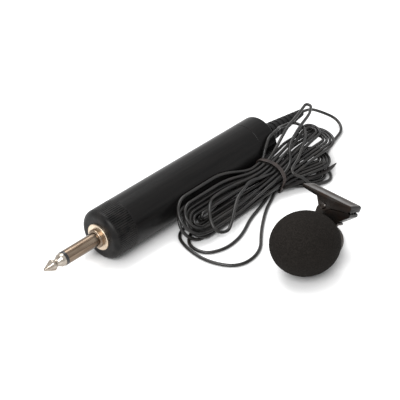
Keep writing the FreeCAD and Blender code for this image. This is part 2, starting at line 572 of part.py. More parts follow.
# Spring end: the coil's last turn with the leg that lifts the lever, beside the first turns
END_X = COIL_START - 2 * COIL_WIRE_R - 0.08
END_TURN = math.radians(250)
end_root, end_way = on_coil(math.pi + LEG_ANGLE)
end_root.x = END_X
end_middle, _ = on_coil(math.pi + LEG_ANGLE + END_TURN / 2)
end_middle.x = END_X
end_last, _ = on_coil(math.pi + LEG_ANGLE + END_TURN)
end_last.x = END_X
lever_leg = Part.makeLine(end_root - end_way * 5.0, end_root)
last_turn = Part.Arc(end_root, end_middle, end_last).toShape()
leg_ring = Part.Wire(Part.makeCircle(COIL_WIRE_R, end_root - end_way * 5.0, end_way))
spring_end = Part.Wire([lever_leg, last_turn]).makePipeShell([leg_ring], True, False)
save(in_mic(spring_end), "spring_end")


def tube_along(edges, node):
    """Sweeps the cable's round section along edges in line, and saves it with the frame's origin."""
    wire = Part.Wire(edges)
    first = edges[0]
    section = Part.Wire(Part.makeCircle(CABLE_R, first.valueAt(first.FirstParameter), first.tangentAt(first.FirstParameter)))
    tube = wire.makePipeShell([section], True, False)
    ideal = math.pi * CABLE_R ** 2 * wire.Length
    print("%s: length %.0f, volume %.1f against %.1f by length" % (node, wire.Length, tube.Volume, ideal))
    save(tube.translated(-ORIGIN), node)
    return wire.Length


# Wound cable: one tube, four layers of loops drawn in alike at the tie, which lie flat under it.
# A slot is (layer, loop): layer 0 is the lowest, loop 0 the innermost.
WAIST = Vec(91.0, -19.9, 6.7)
WAIST_TILT = 15.0
LAYERS = 4
LOOPS = 4
STRAND_PITCH = 2.07
LAYER_PITCH = 2.1
LEFT_TILT = 42.0
LEFT_MIDDLE = Vec(0, -20.1, 9.45)
LEFT_DROP = 2.0
LEFT_STRAIGHT = 57.0
LEFT_FRONT = [(2.3, 2.1), (2.8, 1.91), (1.2, 2.62), (3.0, 2.8)]
LEFT_BACK = [(0.2, 2.1), (0.6, 1.93), (2.6, 1.97), (0.6, 3.6)]
LEFT_BEND = [43.5, 43.0, 42.6, 42.0]
RIGHT_TURN = [-23.0, -11.0, 1.0, 7.0]
RIGHT_REACH = [24.4, 31.5, 36.0, 35.5]
RIGHT_FRONT = [(2.0, 2.45), (1.8, 2.1), (2.6, 2.15), (2.6, 2.2)]
RIGHT_BACK = [(0.3, 2.15), (1.8, 2.1), (1.6, 2.1), (2.6, 2.2)]
RIGHT_HEIGHT = [4.7, 8.0, 10.87, 12.95]
RIGHT_SLOPE = math.tan(math.radians(11))
WAIST_TURN = [-13.0, -5.0, 2.0, 4.0]
WAIST_RISE = [-0.05, 0.0, 0.03, 0.05]


def across(tilt):
    """Directions of a tilted sheet of strands: across it to the front, and up out of it."""
    angle = math.radians(tilt)
    return Vec(0, -math.cos(angle), -math.sin(angle)), Vec(0, -math.sin(angle), math.cos(angle))


def at_waist(slot, side):
    """Where a strand passes under the tie: side is 1 in front and -1 behind."""
    over, up = across(WAIST_TILT)
    return WAIST + over * (side * STRAND_PITCH * (slot[1] + 0.5)) + up * (LAYER_PITCH * (slot[0] - 1.5))


def waist_way(layer):
    angle = math.radians(WAIST_TURN[layer])
    return Vec(math.cos(angle), math.sin(angle), WAIST_RISE[layer])


def slot_offset(table, slot):
    return table[slot[0]][0] + table[slot[0]][1] * slot[1]


def left_place(layer, side):
    over, up = across(LEFT_TILT)
    return LEFT_MIDDLE - up * (LEFT_DROP * (3 - layer)) + over * side


# Loops that leave their layer at the plug's end: two lie loose on the table, one crosses over the top
LOOSE_LOOPS = {
    (0, 3): [(Vec(81, -28.7, 0.8), Vec(-0.93, -0.36, 0)), (Vec(66.9, -36.3, 0.8), Vec(-0.83, -0.55, 0)),
             (Vec(42.5, -49.6, 0.8), Vec(-1, 0, 0)), (Vec(29.2, -31.5, 0.8), Vec(0, 1, 0)),
             (Vec(40, -12.8, 0.8), Vec(1, 0.1, 0)), (Vec(66, -10.8, 0.9), Vec(1, 0.02, 0))],
    (0, 2): [(Vec(80.5, -26.1, 0.8), Vec(-0.95, -0.3, 0)), (Vec(60, -32.6, 0.8), Vec(-0.9, -0.42, 0)),
             (Vec(44.8, -36.4, 0.8), Vec(-1, 0, 0)), (Vec(31.8, -27.2, 0.8), Vec(0, 1, 0)),
             (Vec(46, -16.2, 0.8), Vec(1, 0.05, 0)), (Vec(68, -12.9, 0.8), Vec(1, 0.03, 0))],
    (3, 0): [(Vec(83.5, -22.2, 11.1), Vec(-0.97, 0, 0.22)), (Vec(72, -21.9, 12.2), Vec(-0.95, -0.3, -0.08)),
             (Vec(61.5, -25, 10.4), Vec(-0.85, -0.42, -0.3)), (Vec(53.5, -29.5, 6.8), Vec(-0.78, -0.42, -0.45)),
             (Vec(46.2, -31.6, 4.8), Vec(-0.9, 0.2, 0.1)), (Vec(42.2, -28.6, 7.8), Vec(0.05, 0.75, 0.66)),
             (Vec(46.5, -22, 12.8), Vec(0.75, 0.6, 0.3)), (Vec(57, -16.98, 12.26), Vec(1, 0, 0))],
}


def left_nodes(front_slot, back_slot):
    """Half a loop at the plug's end, where the layers lean on the barrel."""
    if front_slot in LOOSE_LOOPS:
        return LOOSE_LOOPS[front_slot]
    front = left_place(front_slot[0], slot_offset(LEFT_FRONT, front_slot))
    back = left_place(back_slot[0], -slot_offset(LEFT_BACK, back_slot))
    bend = (LEFT_BEND[front_slot[0]] + LEFT_BEND[back_slot[0]]) / 2
    if front_slot[0] != back_slot[0]:
        bend += 3.1 if front_slot[1] == 0 else -2.4
    end = (front + back) * 0.5 + X_AXIS * (bend - (front - back).Length / 2)
    return [(front + X_AXIS * LEFT_STRAIGHT, -X_AXIS), (front + X_AXIS * bend, -X_AXIS), (end, back - front),
            (back + X_AXIS * bend, X_AXIS), (back + X_AXIS * LEFT_STRAIGHT, X_AXIS)]


def right_place(layer, reach, side):
    """A point of a right lobe's sheet: so far along its middle line, and so far behind that line."""
    angle = math.radians(RIGHT_TURN[layer])
    x = WAIST.x + reach * math.cos(angle) - side * math.sin(angle)
    y = WAIST.y + reach * math.sin(angle) + side * math.cos(angle)
    return Vec(x, y, RIGHT_HEIGHT[layer] + (y + 20) * RIGHT_SLOPE)


def right_front(slot):
    """The front strand of a right lobe, where it leaves its bend for the tie."""
    layer = slot[0]
    along = right_place(layer, 1, 0) - right_place(layer, 0, 0)
    return right_place(layer, RIGHT_REACH[layer], -slot_offset(RIGHT_FRONT, slot)), -along


# The hairpin that stands out over the boot's tip, in place of the top layer's third loop
HAIRPIN = [
    (Vec(103.5, -14.4, 16.6), Vec(0.9, 0.25, 0.3)), (Vec(111.6, -11.8, 18.6), Vec(0.93, 0.33, 0.1)),
    (Vec(128.6, -6.7, 19.0), Vec(0.95, 0.31, 0)), (Vec(136.2, -4.2, 19.0), Vec(0.95, 0.31, 0)),
    (Vec(138.1, -5.2, 18.9), Vec(0.2, -0.98, -0.1)), (Vec(136.9, -7.5, 18.7), Vec(-0.84, -0.53, -0.05)),
    (Vec(115.9, -15.6, 18.0), Vec(-0.94, -0.3, -0.12)), (Vec(107, -18.8, 15.9), Vec(-0.85, -0.45, -0.35)),
    (Vec(98.8, -24.9, 10.7), Vec(-0.88, -0.3, -0.35)),
]


def right_nodes(back_slot, front_slot):
    """Half a loop at the cable boot's end, which goes round the barrel's rear edge in the upper layers."""
    layer = back_slot[0]
    if back_slot == (3, 2):
        return HAIRPIN
    waist = at_waist(back_slot, -1)
    back = slot_offset(RIGHT_BACK, back_slot)
    front = slot_offset(RIGHT_FRONT, front_slot)
    nodes = []
    if layer >= 2:
        outward, lift = (0.7, 1.9) if layer == 2 else (1.8, 2.6)
        nodes.append((Vec(107.6, waist.y + outward, waist.z + lift), Vec(1, 0.2, 0.03)))
    along = right_place(layer, 1, 0) - right_place(layer, 0, 0)
    behind = right_place(layer, 0, 1) - right_place(layer, 0, 0)
    nodes.append((right_place(layer, RIGHT_REACH[layer], back), along))
    nodes.append((right_place(layer, RIGHT_REACH[layer] + (front + back) / 2, (back - front) / 2), -behind))
    nodes.append(right_front(front_slot))
    return nodes


FRONT_SLOTS = [(0, 3), (0, 2), (0, 1), (0, 0), (1, 0), (1, 1), (1, 2), (1, 3),
               (2, 3), (2, 2), (2, 1), (2, 0), (3, 0), (3, 1), (3, 2)]
BACK_SLOTS = [(0, 3), (0, 2), (0, 1), (1, 0), (1, 1), (1, 2), (1, 3), (2, 3),
              (2, 2), (2, 1), (2, 0), (3, 0), (3, 1), (3, 2), (3, 3)]
# The last strand climbs over the barrel's rear edge, turns back over the lobes and hooks down by the tie
LAST_STRAND = [
    (Vec(97.2, -11.9, 16.8), Vec(0.78, 0.3, 0.55)), (Vec(101.6, -10.4, 19.4), Vec(0.93, 0.2, 0.2)),
    (Vec(107.3, -9.8, 19.9), Vec(0.98, 0.15, -0.05)), (Vec(113.0, -7.7, 18.5), Vec(0.93, 0.15, -0.3)), (Vec(123.2, -10.9, 16.75), Vec(0.1, -1, 0)),
    (Vec(117.5, -19.5, 15.2), Vec(-0.85, -0.5, -0.1)), (Vec(105.5, -25.4, 13.0), Vec(-0.88, -0.4, -0.22)),
    (Vec(98.2, -27.6, 11.2), Vec(-0.9, -0.3, -0.25)), (Vec(96.4, -29.6, 10.0), Vec(0.1, -0.8, -0.5)),
    (Vec(98.4, -31.4, 8.2), Vec(0.75, -0.4, -0.5)), (Vec(101.6, -33.9, 4.9), Vec(0.45, -0.6, -0.66)),
]
hank_nodes = [right_front((0, 3))]
for index, (front_slot, back_slot) in enumerate(zip(FRONT_SLOTS, BACK_SLOTS)):
    hank_nodes.append((at_waist(front_slot, 1), -waist_way(front_slot[0])))
    hank_nodes += left_nodes(front_slot, back_slot)
    hank_nodes.append((at_waist(back_slot, -1), waist_way(back_slot[0])))
    if index + 1 < len(FRONT_SLOTS):
        hank_nodes += right_nodes(back_slot, FRONT_SLOTS[index + 1])
hank_nodes += LAST_STRAND
hank_nodes = [(place, Vec(way).normalize()) for place, way in hank_nodes]
hank_edges = []
hank_radii = []
for (start, start_way), (end, end_way) in zip(hank_nodes, hank_nodes[1:]):
    for arc in biarc(start, start_way, end, end_way):
        edge, radius = arc_edge(*arc)
        hank_edges.append(edge)
        hank_radii.append(radius)
hank_length = tube_along(hank_edges, "cord_hank")
print("cord_hank: %d loops, least bend radius %.2f" % (len(FRONT_SLOTS), min(hank_radii)))


def least_gap(edges, step, apart):
    """The least clear distance between stretches of the cable that are not next to each other."""
    spots = []
    run = 0.0
    for edge in edges:
        pieces = max(1, int(edge.Length / step))
        first, last = edge.FirstParameter, edge.LastParameter
        for piece in range(pieces):
            spots.append((run + edge.Length * piece / pieces, edge.valueAt(first + (last - first) * piece / pieces)))
        run += edge.Length
    cells = {}
    for spot in spots:
        cells.setdefault((int(spot[1].x // 3), int(spot[1].y // 3), int(spot[1].z // 3)), []).append(spot)
    least = 99.0
    for (i, j, k), members in cells.items():
        near = [spot for di in (-1, 0, 1) for dj in (-1, 0, 1) for dk in (-1, 0, 1)
                for spot in cells.get((i + di, j + dj, k + dk), [])]
        for run_here, here in members:
            for run_there, there in near:
                if run_there - run_here > apart:
                    least = min(least, (there - here).Length)
    return least - 2 * CABLE_R


print("cord_hank: least gap to itself %.2f" % least_gap(hank_edges, 0.5, 6.0))


def free_edges(points, node):
    """Straight runs with a tangent arc at each turn, as long as the shorter run beside it allows."""
    edges = []
    radii = []
    start = points[0]
    for before, corner, after in zip(points, points[1:], points[2:]):
        run_in = corner - before
        run_out = after - corner
        turn = run_in.getAngle(run_out)
        setback = 0.45 * min(run_in.Length, run_out.Length)
        arc_start = corner - run_in.normalize() * setback
        arc_end = corner + run_out.normalize() * setback
        edges.append(Part.makeLine(start, arc_start))
        edges.append(arc_edge(arc_start, corner, arc_end)[0])
        radii.append(setback / math.tan(turn / 2))
        start = arc_end
    edges.append(Part.makeLine(start, points[-1]))
    print("%s: bend radii %s" % (node, " ".join("%.1f" % radius for radius in radii)))
    return edges


# Free cable from the boot: out behind the barrel in one wide loop, then along the table to the hank
hank_start, hank_start_way = hank_nodes[0]
FROM_BARREL = [
    Vec(BOOT_END, 0, BARREL_R), Vec(145.0, 0, BARREL_R), Vec(152.6, -3.2, 7.4), Vec(158.0, -9.0, 3.4),
    Vec(154.0, -16.0, 1.5), Vec(145.0, -18.0, 1.1), Vec(134.0, -22.0, 0.8), Vec(124.5, -31.0, 0.8),
    Vec(118.6, -38.2, 0.8), hank_start - hank_start_way * 4, hank_start,
]
tube_along(free_edges(FROM_BARREL, "cord_from_barrel"), "cord_from_barrel")

# Free cable to the microphone: down in front of the tie and along the table
hank_end, hank_end_way = hank_nodes[-1]
mic_turn = math.radians(MIC_TILT)
mic_way = Vec(math.cos(mic_turn), 0, -math.sin(mic_turn))
mic_end = MIC_CENTRE + mic_way * MIC_BOOT_END
TO_MIC = [
    hank_end, hank_end + hank_end_way * 3.0, Vec(104.2, -39.0, 0.9), Vec(101.8, -45.5, 0.8), Vec(97.5, -52.5, 0.8),
    Vec(92.5, -60, 0.8), Vec(90.5, -66.5, 0.8), mic_end + mic_way * 6, mic_end,
]
tube_along(free_edges(TO_MIC, "cord_to_mic"), "cord_to_mic")

# Tie: flat strip round the hank's waist, whose tapered end runs on in front
TIE_WIDTH = 2.3
TIE_THICKNESS = 0.42
TIE_CLEAR = 0.3
TIE_TAIL_Z = 4.0


def waist_outline(grow):
    """A rounded rectangle round the strands at the tie, across the hank."""
    half_across = STRAND_PITCH * (LOOPS - 0.5)
    half_up = LAYER_PITCH * (LAYERS - 1) / 2
    block = Part.makeBox(TIE_WIDTH, 2 * (half_across + grow), 2 * (half_up + grow),
                         Vec(-TIE_WIDTH / 2, -half_across - grow, -half_up - grow))
    block = rounded(block, grow, lambda edge: abs(edge.tangentAt(edge.FirstParameter).x) > 0.99)
    block.rotate(Vec(0, 0, 0), X_AXIS, WAIST_TILT)
    return block.translated(WAIST)


cable_tie = waist_outline(CABLE_R + TIE_CLEAR + TIE_THICKNESS).cut(waist_outline(CABLE_R + TIE_CLEAR))
TAIL_LINE = [(90.6, -28.4, 1.1), (95.0, -29.9, 1.1), (100.0, -31.3, 1.1), (110.0, -34.0, 1.1), (118.0, -34.8, 0.9), (124.0, -34.2, 0.3)]
tail_points = [Vec(x, y + half, TIE_TAIL_Z) for x, y, half in TAIL_LINE]
tail_points += [Vec(x, y - half, TIE_TAIL_Z) for x, y, half in reversed(TAIL_LINE)]
tie_tail = Part.Face(Part.makePolygon(tail_points + tail_points[:1])).extrude(Vec(0, 0, TIE_THICKNESS))
cable_tie = cable_tie.fuse(tie_tail).removeSplitter()
save(cable_tie.translated(-ORIGIN), "cable_tie")
print("origin in bench coordinates", ORIGIN)
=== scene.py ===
# Tie-clip microphone on a white table: a battery barrel with its jack plug, a thin cable tied in a
# hank, and a small foam-covered microphone in the ring of a sprung clip. Metres, in the part's frame.
import math

import bmesh
import bpy
from mathutils import Matrix, Vector


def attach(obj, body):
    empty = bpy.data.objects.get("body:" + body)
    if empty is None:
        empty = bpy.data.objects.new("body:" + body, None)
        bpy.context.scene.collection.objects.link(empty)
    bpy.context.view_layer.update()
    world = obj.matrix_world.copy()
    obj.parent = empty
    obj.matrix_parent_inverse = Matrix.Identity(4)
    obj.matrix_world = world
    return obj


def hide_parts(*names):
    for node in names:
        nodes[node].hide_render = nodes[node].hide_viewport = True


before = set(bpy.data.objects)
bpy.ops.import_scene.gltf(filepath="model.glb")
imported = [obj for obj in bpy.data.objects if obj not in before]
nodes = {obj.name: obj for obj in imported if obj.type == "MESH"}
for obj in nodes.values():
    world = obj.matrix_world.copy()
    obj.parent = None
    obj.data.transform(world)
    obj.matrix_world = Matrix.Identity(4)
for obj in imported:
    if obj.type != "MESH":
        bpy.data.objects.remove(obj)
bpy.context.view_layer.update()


# Barrel tube: drawn aluminium tube, sprayed satin black, that holds the battery. The front cap screws
# into one end of it and the rear cap is pressed into the other. Places on it, and on everything else,
# are given in millimetres from the cap's front face, with y = 0 under the barrel's axis.
FRONT_FACE = Vector((-53.875, 36.51, 0.0))
PAINT_BLACK = (0.0045, 0.0043, 0.0044, 1)
PAINT_RUBBED = (0.021, 0.0188, 0.0175, 1)


def on_bench(x, y, z):
    """A place in millimetres from the cap's front face, as a point of the part's frame."""
    return (Vector((x, y, z)) + FRONT_FACE) * 0.001


def surface_marks_group():
    """Grain, long handling streaks and specks of dust, from coordinates in metres."""
    group = bpy.data.node_groups.new("surface_marks", "ShaderNodeTree")
    group.interface.new_socket("Vector", in_out="INPUT", socket_type="NodeSocketVector")
    group.interface.new_socket("Grain Scale", in_out="INPUT", socket_type="NodeSocketFloat")
    group.interface.new_socket("Streak Stretch", in_out="INPUT", socket_type="NodeSocketVector")
    group.interface.new_socket("Grain", in_out="OUTPUT", socket_type="NodeSocketFloat")
    group.interface.new_socket("Streaks", in_out="OUTPUT", socket_type="NodeSocketFloat")
    group.interface.new_socket("Dust", in_out="OUTPUT", socket_type="NodeSocketFloat")
    inner, links = group.nodes, group.links
    start, end = inner.new("NodeGroupInput"), inner.new("NodeGroupOutput")
    grain = inner.new("ShaderNodeTexNoise")
    grain.inputs["Detail"].default_value = 3
    links.new(start.outputs["Vector"], grain.inputs["Vector"])
    links.new(start.outputs["Grain Scale"], grain.inputs["Scale"])
    links.new(grain.outputs["Fac"], end.inputs["Grain"])
    stretch = inner.new("ShaderNodeVectorMath")
    stretch.operation = "MULTIPLY"
    links.new(start.outputs["Vector"], stretch.inputs[0])
    links.new(start.outputs["Streak Stretch"], stretch.inputs[1])
    streaks = inner.new("ShaderNodeTexNoise")
    streaks.inputs["Scale"].default_value = 1
    streaks.inputs["Detail"].default_value = 5
    streaks.inputs["Roughness"].default_value = 0.65
    links.new(stretch.outputs["Vector"], streaks.inputs["Vector"])
    links.new(streaks.outputs["Fac"], end.inputs["Streaks"])
    cells = inner.new("ShaderNodeTexVoronoi")
    cells.inputs["Scale"].default_value = 420
    links.new(start.outputs["Vector"], cells.inputs["Vector"])
    speck = inner.new("ShaderNodeMapRange")
    speck.inputs["From Min"].default_value = 0.1
    speck.inputs["From Max"].default_value = 0.05
    links.new(cells.outputs["Distance"], speck.inputs["Value"])
    links.new(speck.outputs["Result"], end.inputs["Dust"])
    return group


surface_marks = surface_marks_group()


def new_finish(name, colour, roughness, metallic=0.0, specular=0.5):
    """A material with one Principled shader whose plain values are set on its own sockets."""
    material = bpy.data.materials.new(name)
    material.use_nodes = True
    shader = material.node_tree.nodes["Principled BSDF"]
    shader.inputs["Base Color"].default_value = colour
    shader.inputs["Roughness"].default_value = roughness
    shader.inputs["Metallic"].default_value = metallic
    shader.inputs["Specular IOR Level"].default_value = specular
    return material


def add_marks(material, rubbed, streaks_to, dust_to, roughness, bump, grain_scale=9000,
              stretch=(25, 500, 500)):
    """Colour, roughness and a fine bump from the marks that handling leaves on a finish."""
    tree = material.node_tree
    shader = tree.nodes["Principled BSDF"]
    place = tree.nodes.new("ShaderNodeTexCoord")
    marks = tree.nodes.new("ShaderNodeGroup")
    marks.node_tree = surface_marks
    marks.inputs["Grain Scale"].default_value = grain_scale
    marks.inputs["Streak Stretch"].default_value = stretch
    tree.links.new(place.outputs["Object"], marks.inputs["Vector"])
    streak_share = tree.nodes.new("ShaderNodeMapRange")
    streak_share.inputs["From Min"].default_value = 0.4
    streak_share.inputs["From Max"].default_value = 0.75
    streak_share.inputs["To Max"].default_value = streaks_to
    tree.links.new(marks.outputs["Streaks"], streak_share.inputs["Value"])
    dust_share = tree.nodes.new("ShaderNodeMath")
    dust_share.operation = "MULTIPLY_ADD"
    dust_share.inputs[1].default_value = dust_to
    tree.links.new(marks.outputs["Dust"], dust_share.inputs[0])
    tree.links.new(streak_share.outputs["Result"], dust_share.inputs[2])
    tone = tree.nodes.new("ShaderNodeMix")
    tone.data_type = "RGBA"
    tone.inputs["A"].default_value = shader.inputs["Base Color"].default_value
    tone.inputs["B"].default_value = rubbed
    tree.links.new(dust_share.outputs["Value"], tone.inputs["Factor"])
    tree.links.new(tone.outputs["Result"], shader.inputs["Base Color"])
    rough = tree.nodes.new("ShaderNodeMapRange")
    rough.inputs["From Min"].default_value = 0.3
    rough.inputs["From Max"].default_value = 0.7
    rough.inputs["To Min"].default_value = roughness[0]
    rough.inputs["To Max"].default_value = roughness[1]
    tree.links.new(marks.outputs["Streaks"], rough.inputs["Value"])
    tree.links.new(rough.outputs["Result"], shader.inputs["Roughness"])
    relief = tree.nodes.new("ShaderNodeBump")
    relief.inputs["Strength"].default_value = bump
    relief.inputs["Distance"].default_value = 0.00005
    tree.links.new(marks.outputs["Grain"], relief.inputs["Height"])
    tree.links.new(relief.outputs["Normal"], shader.inputs["Normal"])
    return material


def finish_node(name, material):
    """Gives one of the part's own solids its finish."""
    solid = nodes[name]
    for index in range(len(solid.material_slots)):
        solid.material_slots[index].link = "OBJECT"
        solid.material_slots[index].material = material


barrel_paint = new_finish("barrel_paint", PAINT_BLACK, 0.32, specular=0.12)
add_marks(barrel_paint, PAINT_RUBBED, 0.35, 0.5, (0.27, 0.38), 0.2)
finish_node("barrel_tube", barrel_paint)

# Rear cap: a short cup of the same sprayed aluminium, pressed into the tube's end, with a thin wall
# that the cable's boot passes through.
finish_node("rear_cap", barrel_paint)

# Front cap: turned aluminium, sprayed black like the tube, with seventy-two straight ribs to grip it
# by. It is rubbed more than the tube, by fingers and by the sockets that its flat face has met.
cap_paint = new_finish("cap_paint", PAINT_BLACK, 0.38, specular=0.14)
add_marks(cap_paint, (0.04, 0.037, 0.035, 1), 0.5, 0.4, (0.3, 0.46), 0.3, stretch=(300, 300, 300))
finish_node("front_cap", cap_paint)

# Cable boot: moulded rubber cone, slit by grooves so that it bends, with its flange behind the wall.
# The microphone's own boot is a short grommet of the same rubber, with a flange and one groove.
boot_rubber = new_finish("boot_rubber", (0.007, 0.007, 0.0073, 1), 0.5, specular=0.14)
add_marks(boot_rubber, (0.026, 0.024, 0.023, 1), 0.4, 0.6, (0.42, 0.6), 0.4, stretch=(200, 200, 200))
for name in ("cable_boot", "mic_boot"):
    finish_node(name, boot_rubber)

# Plug: turned brass, plated with nickel that has worn warm, in a sleeve with its collar, a tip on its long
# rod, and a flat washer against the cap. The sleeve's long dark brown streaks are partly wear and partly a
# painted reflection. A black ring and tube keep the tip off the sleeve.
sleeve_plate_and_reflection = new_finish("sleeve_plate_and_reflection", (0.26, 0.205, 0.155, 1), 0.2, metallic=1.0)
# Dark brown streaks along the sleeve's axis: partly wear, partly painted reflection.
add_marks(sleeve_plate_and_reflection, (0.06, 0.028, 0.012, 1), 1.0, 0.2, (0.14, 0.3), 0.1, stretch=(40, 600, 600))
finish_node("plug_sleeve", sleeve_plate_and_reflection)
tip_plate = new_finish("tip_plate", (0.43, 0.39, 0.34, 1), 0.2, metallic=1.0)
add_marks(tip_plate, (0.1, 0.06, 0.035, 1), 0.8, 0.2, (0.12, 0.3), 0.1, stretch=(250, 500, 500))
finish_node("plug_tip", tip_plate)
washer_plate = new_finish("washer_plate", (0.72, 0.6, 0.47, 1), 0.3, metallic=1.0)
add_marks(washer_plate, (0.4, 0.28, 0.17, 1), 0.6, 0.3, (0.22, 0.42), 0.2, stretch=(500, 500, 500))
finish_node("plug_washer", washer_plate)
ring_plastic = new_finish("ring_plastic", (0.01, 0.01, 0.01, 1), 0.25)
add_marks(ring_plastic, (0.03, 0.03, 0.03, 1), 0.3, 0.2, (0.2, 0.35), 0.1)
finish_node("plug_insulator", ring_plastic)

# Plated and bare metal inside: the nut that holds the plug in the cap's wall and the steel springs are
# plated, and the tag, rivet, contact and crimped ring that carry current or grip the cable are brass.
nut_plate = new_finish("nut_plate", (0.6, 0.58, 0.55, 1), 0.35, metallic=1.0)
add_marks(nut_plate, (0.35, 0.33, 0.3, 1), 0.5, 0.2, (0.28, 0.45), 0.2, stretch=(400, 400, 400))
for name in ("plug_nut", "battery_spring", "clip_spring", "spring_end"):
    finish_node(name, nut_plate)
bare_brass = new_finish("bare_brass", (0.68, 0.5, 0.24, 1), 0.3, metallic=1.0)
add_marks(bare_brass, (0.35, 0.22, 0.1, 1), 0.5, 0.2, (0.22, 0.45), 0.2, stretch=(400, 400, 400))
for name in ("solder_tag", "contact_rivet", "rear_contact", "crimp_ring"):
    finish_node(name, bare_brass)

# Battery and its card sleeve: a plain steel-jacketed cell, with no maker's print, that slides in a
# rolled card tube so that it can't touch the barrel.
cell_jacket = new_finish("cell_jacket", (0.2, 0.21, 0.23, 1), 0.3, metallic=0.8)
add_marks(cell_jacket, (0.4, 0.4, 0.4, 1), 0.3, 0.2, (0.25, 0.4), 0.1)
finish_node("battery", cell_jacket)
liner_card = new_finish("liner_card", (0.45, 0.36, 0.24, 1), 0.85)
add_marks(liner_card, (0.3, 0.22, 0.13, 1), 0.6, 0.4, (0.8, 0.95), 0.8, grain_scale=2500)
finish_node("battery_liner", liner_card)

# Fibre discs and circuit: punched discs close both ends of the battery's space, and the small board
# behind the rear one carries a capacitor and a resistor, soldered by their wires.
fibre_disc = new_finish("fibre_disc", (0.22, 0.1, 0.04, 1), 0.7)
add_marks(fibre_disc, (0.12, 0.05, 0.02, 1), 0.6, 0.3, (0.6, 0.8), 0.5, grain_scale=3500)
for name in ("contact_carrier", "bulkhead"):
    finish_node(name, fibre_disc)
board_green = new_finish("board_green", (0.02, 0.12, 0.04, 1), 0.35)
add_marks(board_green, (0.05, 0.2, 0.07, 1), 0.5, 0.2, (0.3, 0.45), 0.3, grain_scale=4000)
finish_node("circuit_board", board_green)
part_blue = new_finish("part_blue", (0.02, 0.04, 0.14, 1), 0.3)
add_marks(part_blue, (0.05, 0.08, 0.2, 1), 0.4, 0.2, (0.25, 0.4), 0.1)
finish_node("capacitor", part_blue)
part_tan = new_finish("part_tan", (0.5, 0.34, 0.18, 1), 0.4)
add_marks(part_tan, (0.35, 0.22, 0.11, 1), 0.4, 0.2, (0.35, 0.5), 0.2)
finish_node("resistor", part_tan)

# Microphone: slim turned housing and pressed grille in satin black, with the electret capsule in its
# rubber cup inside, all hidden by the windscreen but for the groove that the clip's ring holds.
mic_paint = new_finish("mic_paint", PAINT_BLACK, 0.4, specular=0.14)
add_marks(mic_paint, PAINT_RUBBED, 0.4, 0.4, (0.35, 0.5), 0.25, stretch=(300, 300, 300))
for name in ("mic_housing", "mic_grille"):
    finish_node(name, mic_paint)
capsule_can = new_finish("capsule_can", (0.7, 0.7, 0.71, 1), 0.35, metallic=1.0)
add_marks(capsule_can, (0.5, 0.5, 0.5, 1), 0.4, 0.2, (0.3, 0.45), 0.2)
finish_node("capsule", capsule_can)
finish_node("capsule_cup", boot_rubber)

# Clip: spring steel strip, plated dark grey and worn to brown in patches. A ring round the microphone
# carries, on a rivet, the lower jaw; the long lever pivots on a pin, and a coil spring closes the two
# toothed lips, whose ends are painted black as shade. The lever's back is pressed into a shallow dish
# between two rims.
MIC_PLACE = Vector((53.4, -70.6, 14.88))
MIC_TILT = math.radians(25)
BEND_ROUNDING = 0.00028
LEAST_BEND_LENGTH = 0.005
LEAST_BEND_ANGLE = math.radians(60)
PLATE_SIDE_AREA = 35e-6
# Faces turned further towards -y than this are the lips' ends, painted black as shade.
PAINTED_SHADE_FACING = -0.6
# Each step of the dish goes so far in from the rim, and so far down.
DISH_STEPS = ((0.0009, 0.0), (0.0004, -0.00008), (0.0005, -0.0002), (0.0006, -0.0001))
clip_up = Vector((math.sin(MIC_TILT), 0, math.cos(MIC_TILT)))
clip_plate = new_finish("clip_plate", (0.042, 0.038, 0.035, 1), 0.3, metallic=0.85)
add_marks(clip_plate, (0.035, 0.018, 0.01, 1), 1.0, 0.3, (0.22, 0.4), 0.2, stretch=(250, 120, 250))
# Near-black finish for the lips' ends: painted shade.
clip_painted_shade = new_finish("clip_painted_shade", (0.008, 0.0075, 0.008, 1), 0.35, metallic=0.4, specular=0.2)
add_marks(clip_painted_shade, (0.03, 0.025, 0.021, 1), 0.5, 0.3, (0.25, 0.42), 0.2, stretch=(300, 300, 300))
for name in ("ring_holder", "swivel_rivet", "hinge_pin"):
    finish_node(name, clip_plate)


def round_edges(mesh, edges, offset):
    """Rounds the given edges of a mesh."""
    bmesh.ops.bevel(mesh, geom=edges, offset=offset, offset_type="OFFSET", segments=3, profile=0.5,
                    affect="EDGES", material=-1, clamp_overlap=True)


def new_piece(mesh, name):
    """A finished mesh as an object of the scene, which stands at the origin."""
    piece_mesh = bpy.data.meshes.new(name)
    mesh.to_mesh(piece_mesh)
    mesh.free()
    piece = bpy.data.objects.new(name, piece_mesh)
    bpy.context.scene.collection.objects.link(piece)
    return piece


def pressed_plate(node_name):
    """A merged copy of a bent plate, with the long bends on its outside rounded."""
    mesh = bmesh.new()
    mesh.from_mesh(nodes[node_name].data)
    bmesh.ops.remove_doubles(mesh, verts=mesh.verts, dist=1e-6)
    bmesh.ops.dissolve_limit(mesh, angle_limit=math.radians(1), verts=mesh.verts, edges=mesh.edges)
    bends = [edge for edge in mesh.edges if edge.calc_length() > LEAST_BEND_LENGTH and edge.is_convex
             and edge.calc_face_angle(0) > LEAST_BEND_ANGLE
             and max(face.calc_area() for face in edge.link_faces) > PLATE_SIDE_AREA]
    round_edges(mesh, bends, BEND_ROUNDING)
    return mesh


def plate_piece(mesh, piece_name, node_name, body):
    """The plate as a piece that stands for its node, with the ends of its lips painted black as shade."""
    for face in mesh.faces:
        face.smooth = True
        # Faces turned towards -y, the lips' ends, take the near-black finish: painted shade.
        face.material_index = 1 if face.normal.y < PAINTED_SHADE_FACING else 0
    plate = new_piece(mesh, piece_name)
    plate.data.set_sharp_from_angle(angle=math.radians(40))
    plate.data.materials.append(clip_plate)
    plate.data.materials.append(clip_painted_shade)
    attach(plate, body)
    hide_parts(node_name)


